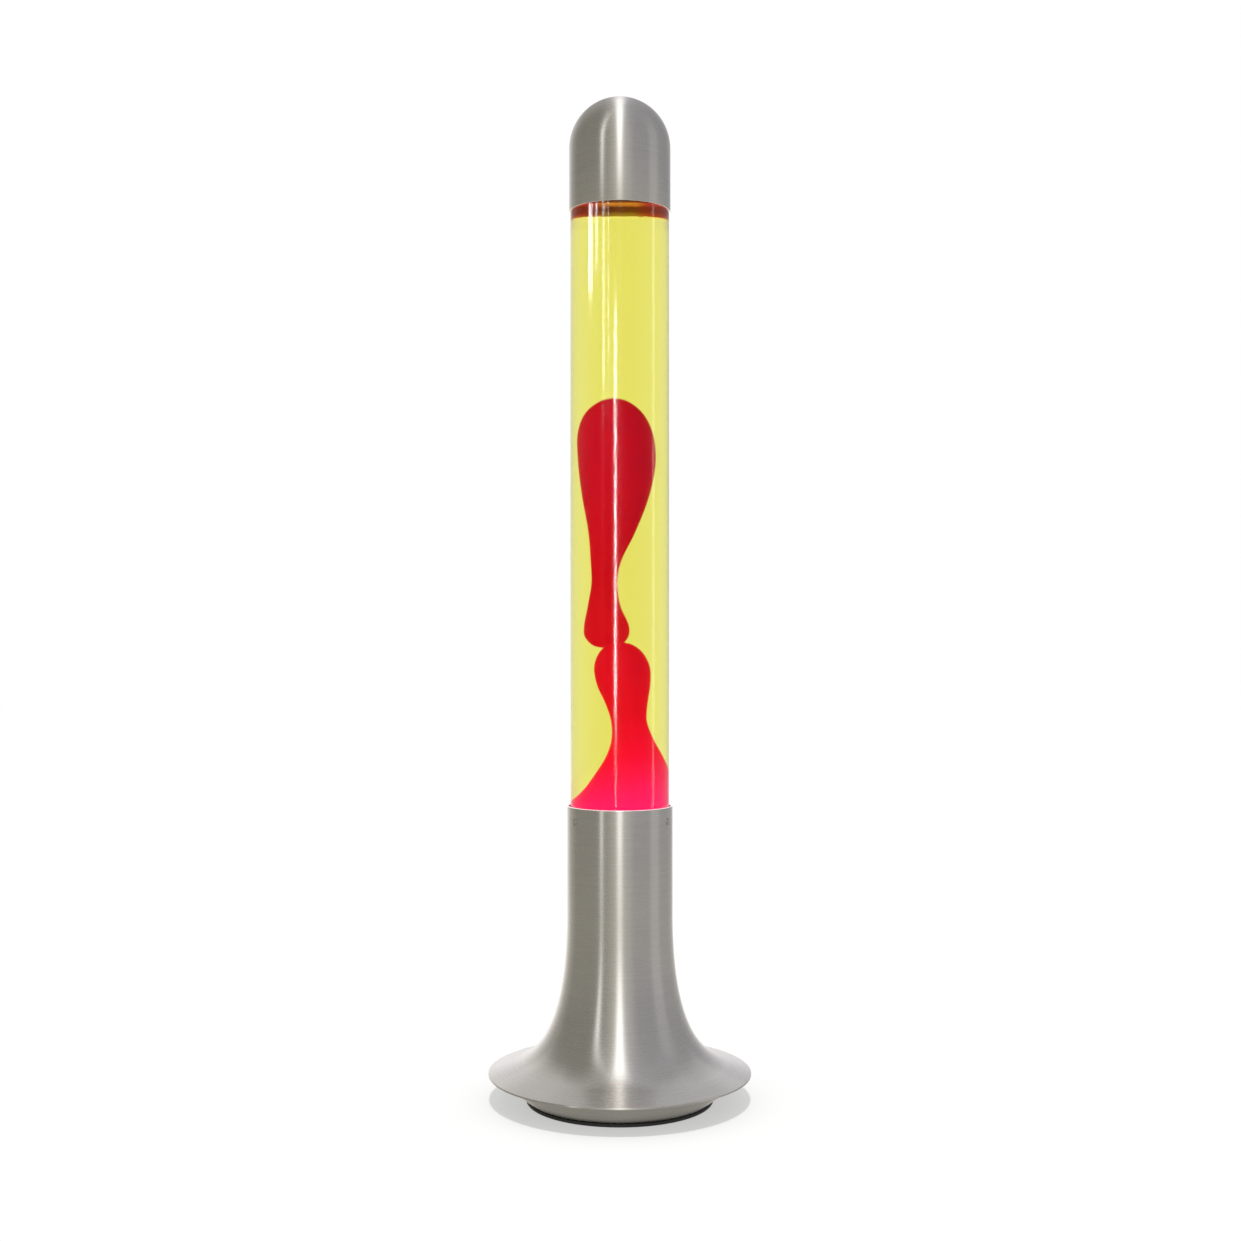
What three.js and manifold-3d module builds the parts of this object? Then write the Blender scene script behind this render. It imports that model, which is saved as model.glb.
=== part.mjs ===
// Lava lamp: a spun trumpet base, a lift-out glass bottle of liquid and wax, and a lift-off dome cap.
// Millimetres, +Z up. The origin is the centre of the foot, on the surface that the lamp stands on.
// The front faces -Y.
import * as THREE from "three";
import { mergeVertices } from "three/addons/utils/BufferGeometryUtils.js";
import Module from "manifold-3d";

const wasm = await Module();
wasm.setup();

// ---------------------------------------------------------------- driving sizes

const fit = 0.3; // gap between pieces that touch
const roundSides = 30; // facets round the lamp
const bulbSides = 16;
const screwSides = 8;
const leadSides = 6;

// Glass bottle
const glassRadius = 37.5;
const glassWall = 2.5;
const heelRadius = 5;
const exposedGlass = 450.3; // from the mouth of the base to the edge of the cap
const seatDepth = 45; // how far the bottle goes into the base
const capOverlap = 16; // straight glass inside the cap
const shoulderRise = 20;
const bottleNeckRadius = 14.5;
const bottleNeckRise = 22;
const liquidAboveCapEdge = 11;

// Trumpet base
const baseHeight = 224;
const baseWall = 1;
const flareStart = 141.8; // the neck is straight above this height
const neckHandle = 130.1; // how strongly the flare keeps to the neck
const rimRadius = 99.3;
const rimHeight = 22.3;
const rimHandleIn = 8.5; // how the rim turns down
const rimHandleUp = 10.6;

// Seat ring and its rivets
const seatWall = 0.8;
const bottlePlay = 0.6; // between the bottle and the seat ring
const seatLedge = 5; // width of the ledge under the bottle
const seatTopBelowMouth = 2;
const rivetAngles = [-57, 63, 183]; // degrees from the front, towards +X
const rivetBelowMouth = 10.6;
const rivetShank = 1.3;
const rivetHead = 1.9;
const rivetHeadHeight = 1;

// Foot
const footRingRadius = 71;
const footRingWidth = 9;
const footRingHeight = 2.5;
const dishWall = 1.2;
const dishFootRadius = 70;
const dishRecessRadius = 60.3;
const dishRecessRise = 4;
const dishOpening = 46;
const dishFlangeStart = 0.25; // where the dish's flange lies, as shares of the flare's last facet
const dishFlangeEnd = 0.85;

// Bottom plate
const plateWall = 1.3;
const ventCount = 12;
const ventRadius = 3;
const ventCircle = 22;
const plateScrewCircle = 52;
const plateScrewCount = 4;

// Screws
const screwShank = 1.4;
const screwHole = 1.8;
const screwHead = 2.9;
const screwHeadHeight = 1;
const screwSlotWidth = 0.7;
const screwSlotDepth = 0.5;

// Bulb, R63 with an E27 cap
const bulbRadius = 31.5;
const bulbLength = 102;
const bulbFaceRise = 13;
const bulbGlassWall = 1;
const bulbNeckRadius = 12.2;
const bulbCapRadius = 13.2;
const bulbCapWall = 0.6;
const bulbCapHeight = 27;
const threadPitch = 3.63;
const threadDepth = 0.8;
const threadTurns = 4;
const bulbTravel = 12.7; // three and a half turns of the thread
const bulbHeadroom = 2.4; // left under the bottle when the bulb is unscrewed
const bulbTipRadius = 4.8;
const bulbTipHeight = 3.2;

// Lampholder
const holderRadius = 22;
const holderBore = 15.1;
const holderShellWall = 0.8;
const holderFloor = 6;
const holderHeight = 36;
const contactRise = 3.6;
const contactWall = 0.6;
const contactWidth = 5;
const holderScrewX = 18.5;
const holderScrewDepth = 10;
const leadEntryX = 6;

// Lamp bracket
const bracketWall = 1.5;
const bracketWidth = 24;
const bracketHalfTop = 29;
const bracketHalfFoot = 31;
const bracketHalfSpan = 42;
const bracketScrewX = 37;
const bracketHole = 9;

// Terminal block, leads and earth
const blockSize = new THREE.Vector3(30, 16, 12);
const blockY = 26;
const polePitch = 9;
const poleBore = 1.6;
const poleBoreHeight = 5.2;
const poleScrewY = 4;
const poleWell = 1.9;
const poleScrewLength = 4;
const leadRadius = 1.1;
const leadInBlock = 3;
const earthScrewY = -30;
const earthScrewRadius = 1.8;
const earthHeadRadius = 3.4;
const earthHeadHeight = 2;
const tagRadius = 4;
const tagWall = 0.8;
const tagTail = 8;
const tagTailWidth = 4;

// Cord grommet, in the back of the dish
const grommetHeight = 11.5;
const grommetBore = 3.3;
const grommetSleeve = 4.5;
const grommetFlange = 7;
const grommetFlangeWall = 1.4;

// Dome cap
const capPlay = 0.4;
const capWall = 0.6;
const capSkirt = 48;
const padInnerRadius = 28;
const padHeight = 8;

// Bottle closure
const closureWall = 0.7;
const closureSkirt = 8;
const linerHeight = 1.2;

// Wax. Each point is height above the mouth of the base, radius and lean towards +X,
// both of these as shares of the bottle's bore, which the wax fills at the bottom.
const waxColumnShape = [
  [-8, 1, 0],
  [0, 0.91, 0.07],
  [13, 0.76, 0.18],
  [25, 0.63, 0.23],
  [38, 0.48, 0.25],
  [51, 0.36, 0.22],
  [65, 0.31, 0.16],
  [78, 0.37, 0.12],
  [92, 0.47, 0.07],
  [106, 0.49, 0.04],
  [117, 0.37, 0.02],
  [122.5, 0.2, 0.01],
  [124.5, 0, 0.01],
];
const waxBlobShape = [
  [119.5, 0, -0.2],
  [121.5, 0.2, -0.2],
  [128, 0.33, -0.2],
  [136, 0.345, -0.2],
  [152, 0.25, -0.24],
  [169, 0.2, -0.24],
  [185, 0.24, -0.22],
  [207, 0.38, -0.13],
  [234, 0.55, -0.07],
  [262, 0.64, -0.05],
  [284, 0.61, -0.08],
  [298, 0.46, -0.1],
  [306, 0.22, -0.1],
  [308.4, 0, -0.1],
];
const waxSteps = 15;
const waxColumnForward = 8; // the column stands in front of the blob's tail
const waxBlobBack = 8;
const waxLink = 2; // radius of the liquid's channel where the blob has just left the column

// Wire coil
const coilRadius = 22;
const coilThickness = 3.5;

// ---------------------------------------------------------------- derived sizes

const seatOuter = glassRadius + bottlePlay + seatWall;
const neckInner = seatOuter + fit;
const neckRadius = neckInner + baseWall;
const seatBottom = baseHeight - seatDepth - seatWall - fit;
const bottleBottom = seatBottom + seatWall + fit;
const boreRadius = glassRadius - glassWall;
const capEdge = baseHeight + exposedGlass;
const shoulderStart = capEdge + capOverlap;
const bottleNeckStart = shoulderStart + shoulderRise;
const bottleMouth = bottleNeckStart + bottleNeckRise;
const liquidTop = capEdge + liquidAboveCapEdge;
const rivetZ = baseHeight - rivetBelowMouth;

const dishBottom = footRingHeight + fit;
const recessUnderside = dishBottom + dishRecessRise;
const plateTop = recessUnderside - fit;
const plateUnderside = plateTop - plateWall;
const plateRadius = dishRecessRadius - fit - 1.5;
const onPlate = plateTop + fit;

const bulbTop = bottleBottom - bulbTravel - bulbHeadroom;
const bulbBottom = bulbTop - bulbLength;
const contactTop = bulbBottom - fit;
const holderFloorTop = contactTop - contactRise - fit;
const holderBottom = holderFloorTop - holderFloor;
const holderTop = holderBottom + holderHeight;
const bracketTop = holderBottom - fit;

const capInner = glassRadius + capPlay;
const capRadius = capInner + capWall;
const domeCentre = capEdge + capSkirt;

// ---------------------------------------------------------------- helpers

const degrees = Math.PI / 180;
const at = (x, y) => new THREE.Vector2(x, y);

// The points of an arc about a centre, from one angle to another, in degrees.
function arc(centreX, centreY, radiusX, radiusY, from, to, steps) {
  const points = [];
  for (let i = 0; i <= steps; i++) {
    const angle = (from + ((to - from) * i) / steps) * degrees;
    points.push(at(centreX + radiusX * Math.cos(angle), centreY + radiusY * Math.sin(angle)));
  }
  return points;
}

// A path moved sideways, to its left where the distance is positive, with mitred corners.
// A point on the axis stays on it.
const onAxis = (point) => Math.abs(point.x) < 1e-6;
function offsetPath(path, distance) {
  const leftOf = (a, b) => at(a.y - b.y, b.x - a.x).normalize();
  return path.map((point, i) => {
    const before = i > 0 ? leftOf(path[i - 1], point) : leftOf(point, path[1]);
    const after = i < path.length - 1 ? leftOf(point, path[i + 1]) : before;
    if (onAxis(point)) return at(0, point.y + Math.sign(before.y) * distance);
    const mitre = before.clone().add(after).divideScalar(1 + before.dot(after));
    return point.clone().addScaledVector(mitre, distance);
  });
}

// The closed outline of a sheet of even thickness along a path.
const sheet = (path, thickness) => [...path, ...offsetPath(path, thickness).reverse()];

// A solid of revolution about Z. The outline's x is the radius and its y the height.
function turned(outline, sides = roundSides) {
  let points = THREE.ShapeUtils.area(outline) < 0 ? [...outline].reverse() : outline;
  const start = points.findIndex((p, i) => onAxis(p) && onAxis(points.at(i - 1)));
  points = start < 0 ? [...points, points[0]] : [...points.slice(start), ...points.slice(0, start)];
  return new THREE.LatheGeometry(points, sides).rotateX(Math.PI / 2);
}

// A straight rod along Z, and one that lies along Y.
function rod(radius, bottom, top, sides = screwSides) {
  const length = top - bottom;
  return new THREE.CylinderGeometry(radius, radius, length, sides)
    .rotateX(Math.PI / 2)
    .translate(0, 0, (bottom + top) / 2);
}
const rodAlongY = (radius, from, to, sides) => rod(radius, from, to, sides).rotateX(-Math.PI / 2);

// A strip bent along a path in the XZ plane and centred on Y.
function strip(path, thickness, width) {
  const shape = new THREE.Shape(sheet(path, thickness));
  const options = { depth: width, bevelEnabled: false };
  return new THREE.ExtrudeGeometry(shape, options)
    .rotateX(Math.PI / 2)
    .translate(0, width / 2, 0);
}

// A geometry as a solid, and back.
function solidOf(geometry) {
  const bare = geometry.clone();
  bare.deleteAttribute("normal");
  bare.deleteAttribute("uv");
  const merged = mergeVertices(bare, 1e-4);
  return new wasm.Manifold(
    new wasm.Mesh({
      numProp: 3,
      vertProperties: merged.attributes.position.array,
      triVerts: new Uint32Array(merged.index.array),
    }),
  );
}
function geometryOf(solid) {
  const { vertProperties, triVerts } = solid.getMesh();
  const geometry = new THREE.BufferGeometry();
  geometry.setAttribute("position", new THREE.BufferAttribute(vertProperties, 3));
  geometry.setIndex(new THREE.BufferAttribute(triVerts, 1));
  geometry.computeVertexNormals();
  return geometry;
}
const cut = (geometry, ...tools) =>
  geometryOf(tools.reduce((solid, tool) => solid.subtract(solidOf(tool)), solidOf(geometry)));

// ---------------------------------------------------------------- materials

const finish = (color, roughness, metalness, more = {}) =>
  new THREE.MeshStandardMaterial({ color, roughness, metalness, ...more });
const aluminium = () => finish(0xb4b0a8, 0.35, 1);
const steel = () => finish(0x9a9a98, 0.4, 1);
const brass = () => finish(0xc9a24e, 0.35, 1);
const rubber = () => finish(0x1a1a1a, 0.9, 0);
const wax = () => finish(0xd20a1c, 0.4, 0);

// ---------------------------------------------------------------- assembly

const lamp = new THREE.Group();
const base = new THREE.Group();
const bulb = new THREE.Group();
const bottle = new THREE.Group();
const cap = new THREE.Group();
lamp.add(base, bulb, bottle, cap);

function add(group, name, geometry, material) {
  const mesh = new THREE.Mesh(geometry, material);
  mesh.name = name;
  group.add(mesh);
  return mesh;
}

// ---------------------------------------------------------------- base

const flare = new THREE.CubicBezierCurve(
  at(neckRadius, flareStart),
  at(neckRadius, flareStart - neckHandle),
  at(rimRadius - rimHandleIn, rimHeight + rimHandleUp),
  at(rimRadius, rimHeight),
);
const flareLine = flare.getPoints(11);
const rivetHoles = () =>
  rivetAngles.map((angle) =>
    rodAlongY(rivetShank + fit, -neckRadius - 2, -seatOuter + 2 * seatWall)
      .translate(0, 0, rivetZ)
      .rotateZ(angle * degrees),
  );
{
  const outside = [at(neckRadius, baseHeight), ...flareLine];
  const inward = -baseWall;
  add(base, "trumpet_base", cut(turned(sheet(outside, inward)), ...rivetHoles()), aluminium());
}
{
  const path = [
    at(seatOuter, baseHeight - seatTopBelowMouth),
    at(seatOuter, seatBottom),
    at(glassRadius - seatLedge, seatBottom),
  ];
  add(base, "seat_ring", cut(turned(sheet(path, -seatWall)), ...rivetHoles()), steel());
}
rivetAngles.forEach((angle, i) => {
  const headFace = neckRadius + fit;
  const head = arc(0, headFace, rivetHead, rivetHeadHeight, 0, 90, 4);
  const inner = seatOuter - seatWall;
  const outline = [at(0, inner), at(rivetShank, inner), at(rivetShank, headFace), ...head];
  const rivet = add(base, `neck_rivet_${i + 1}`, turned(outline, screwSides), aluminium());
  rivet.rotation.set(Math.PI / 2, 0, angle * degrees, "ZXY");
  rivet.position.z = rivetZ;
});

// The dish closes the flare from below. Its flange lies against the inside of the flare's last facet.
const flange = [dishFlangeStart, dishFlangeEnd].map((share) => {
  const [start, end] = offsetPath(flareLine, -baseWall - fit - dishWall).slice(-2);
  return start.lerp(end, share);
});
const dishSide = [at(dishFootRadius, dishBottom), flange[0]];
const cordHole = rodAlongY(grommetSleeve + fit, dishFootRadius - 20, rimRadius, 2 * screwSides);
cordHole.translate(0, 0, grommetHeight);
const ringOfScrews = (count, circle, first = 45) =>
  Array.from({ length: count }, (_, i) => {
    const angle = (first + (360 * i) / count) * degrees;
    return at(circle * Math.cos(angle), circle * Math.sin(angle));
  });
const plateScrews = ringOfScrews(plateScrewCount, plateScrewCircle);
const holesAt = (places, radius, bottom, top) =>
  places.map((place) => rod(radius, bottom, top).translate(place.x, place.y, 0));
{
  const path = [
    at(dishOpening, recessUnderside),
    at(dishRecessRadius - 1, recessUnderside),
    at(dishRecessRadius, dishBottom),
    ...dishSide,
    ...flange.slice(1),
  ];
  const holes = holesAt(plateScrews, screwHole, dishBottom, recessUnderside + 5);
  add(base, "foot_dish", cut(turned(sheet(path, dishWall)), cordHole, ...holes), aluminium());
}
{
  const inner = footRingRadius - footRingWidth;
  const softEdge = 0.6;
  const outline = [
    at(inner, 0),
    at(footRingRadius - softEdge, 0),
    at(footRingRadius, softEdge),
    at(footRingRadius, footRingHeight),
    at(inner, footRingHeight),
  ];
  add(base, "foot_ring", turned(outline), rubber());
}

// The grommet's two flanges follow the dish's sloping side, and its bore is level.
{
  const between = (near, far) =>
    solidOf(turned([...offsetPath(dishSide, near), ...offsetPath(dishSide, far).reverse()]));
  const round = (radius) => {
    const through = rodAlongY(radius, dishFootRadius - 20, rimRadius + 20, 2 * screwSides);
    return solidOf(through.translate(0, 0, grommetHeight));
  };
  const outerFace = -fit - grommetFlangeWall;
  const innerFace = dishWall + fit + grommetFlangeWall;
  const flanges = between(outerFace, -fit).add(between(dishWall + fit, innerFace));
  const sleeve = between(outerFace, innerFace).intersect(round(grommetSleeve));
  const grommet = flanges.intersect(round(grommetFlange)).add(sleeve).subtract(round(grommetBore));
  add(base, "cord_grommet", geometryOf(grommet), rubber());
}

// ---------------------------------------------------------------- bottom plate and lampholder

// A slotted pan-head screw with its head at the bottom, which points up from the origin.
function screw(length) {
  const outline = [
    at(0, 0),
    at(screwHead - 0.4, 0),
    at(screwHead, 0.4),
    at(screwHead, screwHeadHeight),
    at(screwShank, screwHeadHeight),
    at(screwShank, screwHeadHeight + length),
    at(0, screwHeadHeight + length),
  ];
  const slot = new THREE.BoxGeometry(3 * screwHead, screwSlotWidth, 2 * screwSlotDepth);
  return cut(turned(outline, screwSides), slot);
}
function addScrew(name, x, y, seat, length) {
  const mesh = add(base, name, screw(length), steel());
  mesh.position.set(x, y, seat - fit - screwHeadHeight);
}

const bracketScrews = [at(-bracketScrewX, 0), at(bracketScrewX, 0)];
const blockScrew = at(polePitch / 2, blockY);
{
  const vents = holesAt(ringOfScrews(ventCount, ventCircle, 15), ventRadius, 0, 20);
  const small = holesAt([...plateScrews, ...bracketScrews, blockScrew], screwHole, 0, 20);
  const earth = holesAt([at(0, earthScrewY)], earthScrewRadius + fit, 0, 20);
  const plate = rod(plateRadius, plateUnderside, plateTop, roundSides);
  add(base, "bottom_plate", cut(plate, ...vents, ...small, ...earth), steel());
}
const throughPlate = plateWall + 2 * fit;
plateScrews.forEach((place, i) =>
  addScrew(`plate_screw_${i + 1}`, place.x, place.y, plateUnderside, throughPlate + dishWall + 3),
);
bracketScrews.forEach((place, i) =>
  addScrew(`bracket_screw_${i + 1}`, place.x, place.y, plateUnderside, throughPlate + bracketWall + 3),
);
addScrew("block_screw", blockScrew.x, blockScrew.y, plateUnderside, throughPlate + 4);

const holderScrews = [at(-holderScrewX, 0), at(holderScrewX, 0)];
{
  const path = [
    at(-bracketHalfSpan, onPlate),
    at(-bracketHalfFoot, onPlate),
    at(-bracketHalfTop, bracketTop - bracketWall),
    at(bracketHalfTop, bracketTop - bracketWall),
    at(bracketHalfFoot, onPlate),
    at(bracketHalfSpan, onPlate),
  ];
  const feet = holesAt(bracketScrews, screwHole, 0, onPlate + 5);
  const top = holesAt(holderScrews, screwHole, bracketTop - 5, bracketTop + 5);
  const centre = rod(bracketHole, bracketTop - 5, bracketTop + 5, 2 * screwSides);
  const bracket = strip(path, bracketWall, bracketWidth);
  add(base, "lamp_bracket", cut(bracket, ...feet, ...top, centre), steel());
}
{
  const outline = [
    at(0, holderBottom),
    at(holderRadius, holderBottom),
    at(holderRadius, holderTop - 2),
    at(holderRadius - 2, holderTop),
    at(holderBore, holderTop),
    at(holderBore, holderFloorTop),
    at(0, holderFloorTop),
  ];
  const screwHoles = holesAt(
    holderScrews,
    screwShank + fit,
    holderBottom - 1,
    holderBottom + holderScrewDepth + 1,
  );
  const entries = holesAt(
    [at(-leadEntryX, 0), at(leadEntryX, 0)],
    leadRadius + 2 * fit,
    holderBottom - 1,
    holderFloorTop + 1,
  );
  const body = turned(outline, 2 * screwSides);
  add(base, "lampholder_body", cut(body, ...screwHoles, ...entries), finish(0xe6e2d8, 0.35, 0));
}
{
  const outer = holderBore - fit;
  const path = [at(outer, holderFloorTop + fit), at(outer, holderTop - 1)];
  const shell = turned(sheet(path, holderShellWall), 2 * screwSides);
  add(base, "lampholder_shell", shell, brass());
}
{
  const foot = holderFloorTop + fit;
  const path = [at(-11, foot), at(-9, foot), at(-3, contactTop - contactWall), at(3, contactTop - contactWall)];
  add(base, "lampholder_contact", strip(path, contactWall, contactWidth), brass());
}
holderScrews.forEach((place, i) =>
  addScrew(
    `lampholder_screw_${i + 1}`,
    place.x,
    place.y,
    bracketTop - bracketWall,
    bracketWall + 2 * fit + holderScrewDepth - 1,
  ),
);

// ---------------------------------------------------------------- wiring

const poles = [-polePitch, 0, polePitch];
const blockFront = blockY - blockSize.y / 2;
const poleZ = onPlate + poleBoreHeight;
const wellBottom = poleZ + leadRadius + fit;
{
  const body = new THREE.BoxGeometry(...blockSize).translate(0, blockY, onPlate + blockSize.z / 2);
  const bores = poles.map((x) =>
    rodAlongY(poleBore, blockFront - 1, blockFront + blockSize.y + 1).translate(x, 0, poleZ),
  );
  const wells = poles.flatMap((x) =>
    [-poleScrewY, poleScrewY].map((y) =>
      rod(poleWell, poleZ, onPlate + blockSize.z + 1).translate(x, blockY + y, 0),
    ),
  );
  const fixing = rod(screwShank + fit, onPlate - 1, onPlate + 4.6).translate(blockScrew.x, blockY, 0);
  add(base, "terminal_block", cut(body, ...bores, ...wells, fixing), finish(0xe9e7e0, 0.4, 0));
}
poles
  .flatMap((x) => [at(x, blockY - poleScrewY), at(x, blockY + poleScrewY)])
  .forEach((place, i) => {
    const body = rod(poleWell - fit, 0, poleScrewLength);
    const slot = new THREE.BoxGeometry(4 * poleWell, screwSlotWidth, 2 * screwSlotDepth);
    const mesh = add(base, `terminal_screw_${i + 1}`, cut(body, slot.translate(0, 0, poleScrewLength)), brass());
    mesh.position.set(place.x, place.y, wellBottom);
  });

function lead(name, points, color) {
  const route = new THREE.CatmullRomCurve3(points.map((p) => new THREE.Vector3(...p)));
  const section = new THREE.Shape(arc(0, 0, leadRadius, leadRadius, 0, 360 - 360 / leadSides, leadSides - 1));
  const options = { steps: 16, bevelEnabled: false, extrudePath: route };
  add(base, name, new THREE.ExtrudeGeometry(section, options), finish(color, 0.6, 0));
}
const leadStartY = blockFront + leadInBlock;
const toHolder = (side) => [
  [side * polePitch, leadStartY, poleZ],
  [side * polePitch, blockFront - 2, poleZ],
  [side * (polePitch - 0.5), blockFront - 9, poleZ + 3],
  [side * (leadEntryX + 1), 3, (poleZ + bracketTop) / 2 - 6],
  [side * leadEntryX, 0, (poleZ + bracketTop) / 2 + 6],
  [side * leadEntryX, 0, holderBottom + 3],
];
lead("lead_live", toHolder(-1), 0x6b3a1e);
lead("lead_neutral", toHolder(1), 0x2a5fae);
const tagTop = onPlate + tagWall;
const leadOnTag = tagTop + fit + leadRadius;
lead(
  "lead_earth",
  [
    [0, leadStartY, poleZ],
    [0, blockFront - 2, poleZ],
    [0, 3, poleZ - 0.5],
    [0, -12, leadOnTag + 1],
    [0, earthScrewY + tagTail, leadOnTag],
    [0, earthScrewY + tagTail - 3, leadOnTag],
  ],
  0x5f8f2e,
);
{
  const eye = rod(tagRadius, 0, tagWall);
  const tail = new THREE.BoxGeometry(tagTailWidth, tagTail, tagWall).translate(0, tagTail / 2, tagWall / 2);
  const tag = solidOf(eye).add(solidOf(tail)).subtract(solidOf(rod(earthScrewRadius + fit, -1, 2)));
  add(base, "earth_tag", geometryOf(tag), brass()).position.set(0, earthScrewY, onPlate);
}
{
  const head = tagTop + fit;
  const outline = [
    at(0, plateUnderside - 1.5),
    at(earthScrewRadius, plateUnderside - 1.5),
    at(earthScrewRadius, head),
    at(earthHeadRadius, head),
    at(earthHeadRadius, head + earthHeadHeight),
    at(0, head + earthHeadHeight),
  ];
  const slot = new THREE.BoxGeometry(3 * earthHeadRadius, 1, 1.6).translate(0, 0, head + earthHeadHeight);
  add(base, "earth_screw", cut(turned(outline, screwSides), slot), brass()).position.y = earthScrewY;
}

// ---------------------------------------------------------------- bulb

const bulbCapTop = bulbBottom + bulbCapHeight;
const threadBottom = bulbBottom + bulbTipHeight + 4;
const threadTop = threadBottom + threadTurns * threadPitch;
{
  const widest = bulbTop - bulbFaceRise;
  const coneBottom = bulbCapTop + 12;
  const outside = [
    at(bulbNeckRadius, threadTop + 2),
    at(bulbNeckRadius, coneBottom),
    ...new THREE.CubicBezierCurve(
      at(bulbNeckRadius, coneBottom),
      at(bulbNeckRadius, coneBottom + 14),
      at(bulbRadius, widest - 24),
      at(bulbRadius, widest),
    )
      .getPoints(6)
      .slice(1),
    ...arc(0, widest, bulbRadius, bulbFaceRise, 0, 90, 5).slice(1),
  ];
  const glass = finish(0xf2f2ee, 0.3, 0, { transparent: true, opacity: 0.6 });
  add(bulb, "bulb_glass", turned(sheet(outside, bulbGlassWall), bulbSides), glass);
}
{
  const path = [
    at(bulbTipRadius + fit + bulbCapWall, bulbBottom + bulbTipHeight),
    at(bulbCapRadius - threadDepth, threadBottom),
  ];
  for (let turn = 0; turn < threadTurns; turn++) {
    path.push(at(bulbCapRadius, threadBottom + (turn + 0.5) * threadPitch));
    path.push(at(bulbCapRadius - threadDepth, threadBottom + (turn + 1) * threadPitch));
  }
  const collar = bulbNeckRadius + fit + bulbCapWall;
  path.push(at(collar, threadTop + 1), at(collar, bulbCapTop));
  add(bulb, "bulb_cap", turned(sheet(path, bulbCapWall), bulbSides), aluminium());
}
{
  const outline = [
    at(0, bulbBottom),
    at(bulbTipRadius - 1.6, bulbBottom),
    at(bulbTipRadius, bulbBottom + 1.6),
    at(bulbTipRadius, bulbBottom + bulbTipHeight + 1),
    at(0, bulbBottom + bulbTipHeight + 1),
  ];
  add(bulb, "bulb_tip", turned(outline, bulbSides), steel());
}
{
  const wire = new THREE.CatmullRomCurve3(
    [
      [-4, 0, bulbCapTop - 6],
      [-5, 0, bulbCapTop + 20],
      [-9, 0, bulbCapTop + 40],
      [0, 0, bulbCapTop + 43],
      [9, 0, bulbCapTop + 40],
      [5, 0, bulbCapTop + 20],
      [4, 0, bulbCapTop - 6],
    ].map((p) => new THREE.Vector3(...p)),
  );
  const section = new THREE.Shape(arc(0, 0, 0.5, 0.5, 0, 300, 5));
  const options = { steps: 24, bevelEnabled: false, extrudePath: wire };
  add(bulb, "bulb_filament", new THREE.ExtrudeGeometry(section, options), steel());
}

// ---------------------------------------------------------------- bottle

const bottleOutside = [
  at(0, bottleBottom),
  ...arc(glassRadius - heelRadius, bottleBottom + heelRadius, heelRadius, heelRadius, -90, 0, 3),
  ...arc(bottleNeckRadius, shoulderStart, glassRadius - bottleNeckRadius, shoulderRise, 0, 90, 6),
  at(bottleNeckRadius, bottleMouth),
];
const clearGlass = finish(0xf4f4e8, 0.05, 0, { transparent: true, opacity: 0.35 });
add(bottle, "glass_bottle", turned(sheet(bottleOutside, glassWall)), clearGlass);

// The smooth line through a wax shape's points: x is the radius, y the lean and z the height.
const waxFill = boreRadius - fit;
function waxLine(shape) {
  const points = shape.map(
    ([height, radius, lean]) =>
      new THREE.Vector3(radius * waxFill, lean * waxFill, baseHeight + height),
  );
  return new THREE.CatmullRomCurve3(points).getSpacedPoints(waxSteps);
}

// The lean of a wax line at a height.
function leanAt(line, z) {
  const above = line.findIndex((p) => p.z > z);
  if (above === 0) return line[0].y;
  if (above < 0) return line.at(-1).y;
  const [a, b] = [line[above - 1], line[above]];
  return THREE.MathUtils.mapLinear(z, a.z, b.z, a.y, b.y);
}

// Wax turned from an outline, then leant along X by its line and along Y by a rule.
function leantWax(outline, line, alongY, sides) {
  const geometry = turned(outline, sides);
  const position = geometry.attributes.position;
  for (let i = 0; i < position.count; i++) {
    const z = position.getZ(i);
    position.setX(i, position.getX(i) + leanAt(line, z));
    position.setY(i, position.getY(i) + alongY(z - baseHeight));
  }
  return geometry;
}
const profileOf = (line, grow) => offsetPath(line.map((p) => at(Math.max(p.x, 0), p.z)), grow);

const columnLine = waxLine(waxColumnShape);
const columnY = (height) => -waxColumnForward * THREE.MathUtils.smoothstep(height, 15, 90);
const poolHeel = offsetPath(bottleOutside, glassWall + fit).slice(0, 5);
const bottleFloor = bottleBottom + glassWall;
const coilTop = bottleFloor + fit + 2 * coilThickness;
{
  const outline = [...poolHeel, ...profileOf(columnLine, 0)];
  const groove = turned([
    at(coilRadius - coilThickness - fit, bottleFloor),
    at(coilRadius + coilThickness + fit, bottleFloor),
    at(coilRadius + coilThickness + fit, coilTop + fit),
    at(coilRadius - coilThickness - fit, coilTop + fit),
  ]);
  add(bottle, "wax_column", cut(leantWax(outline, columnLine, columnY), groove), wax());
}

const blobLine = waxLine(waxBlobShape);
const blobY = (height) => waxBlobBack * (1 - THREE.MathUtils.smoothstep(height, 150, 230));
add(bottle, "wax_blob", leantWax(profileOf(blobLine, 0), blobLine, blobY, bulbSides), wax());

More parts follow.
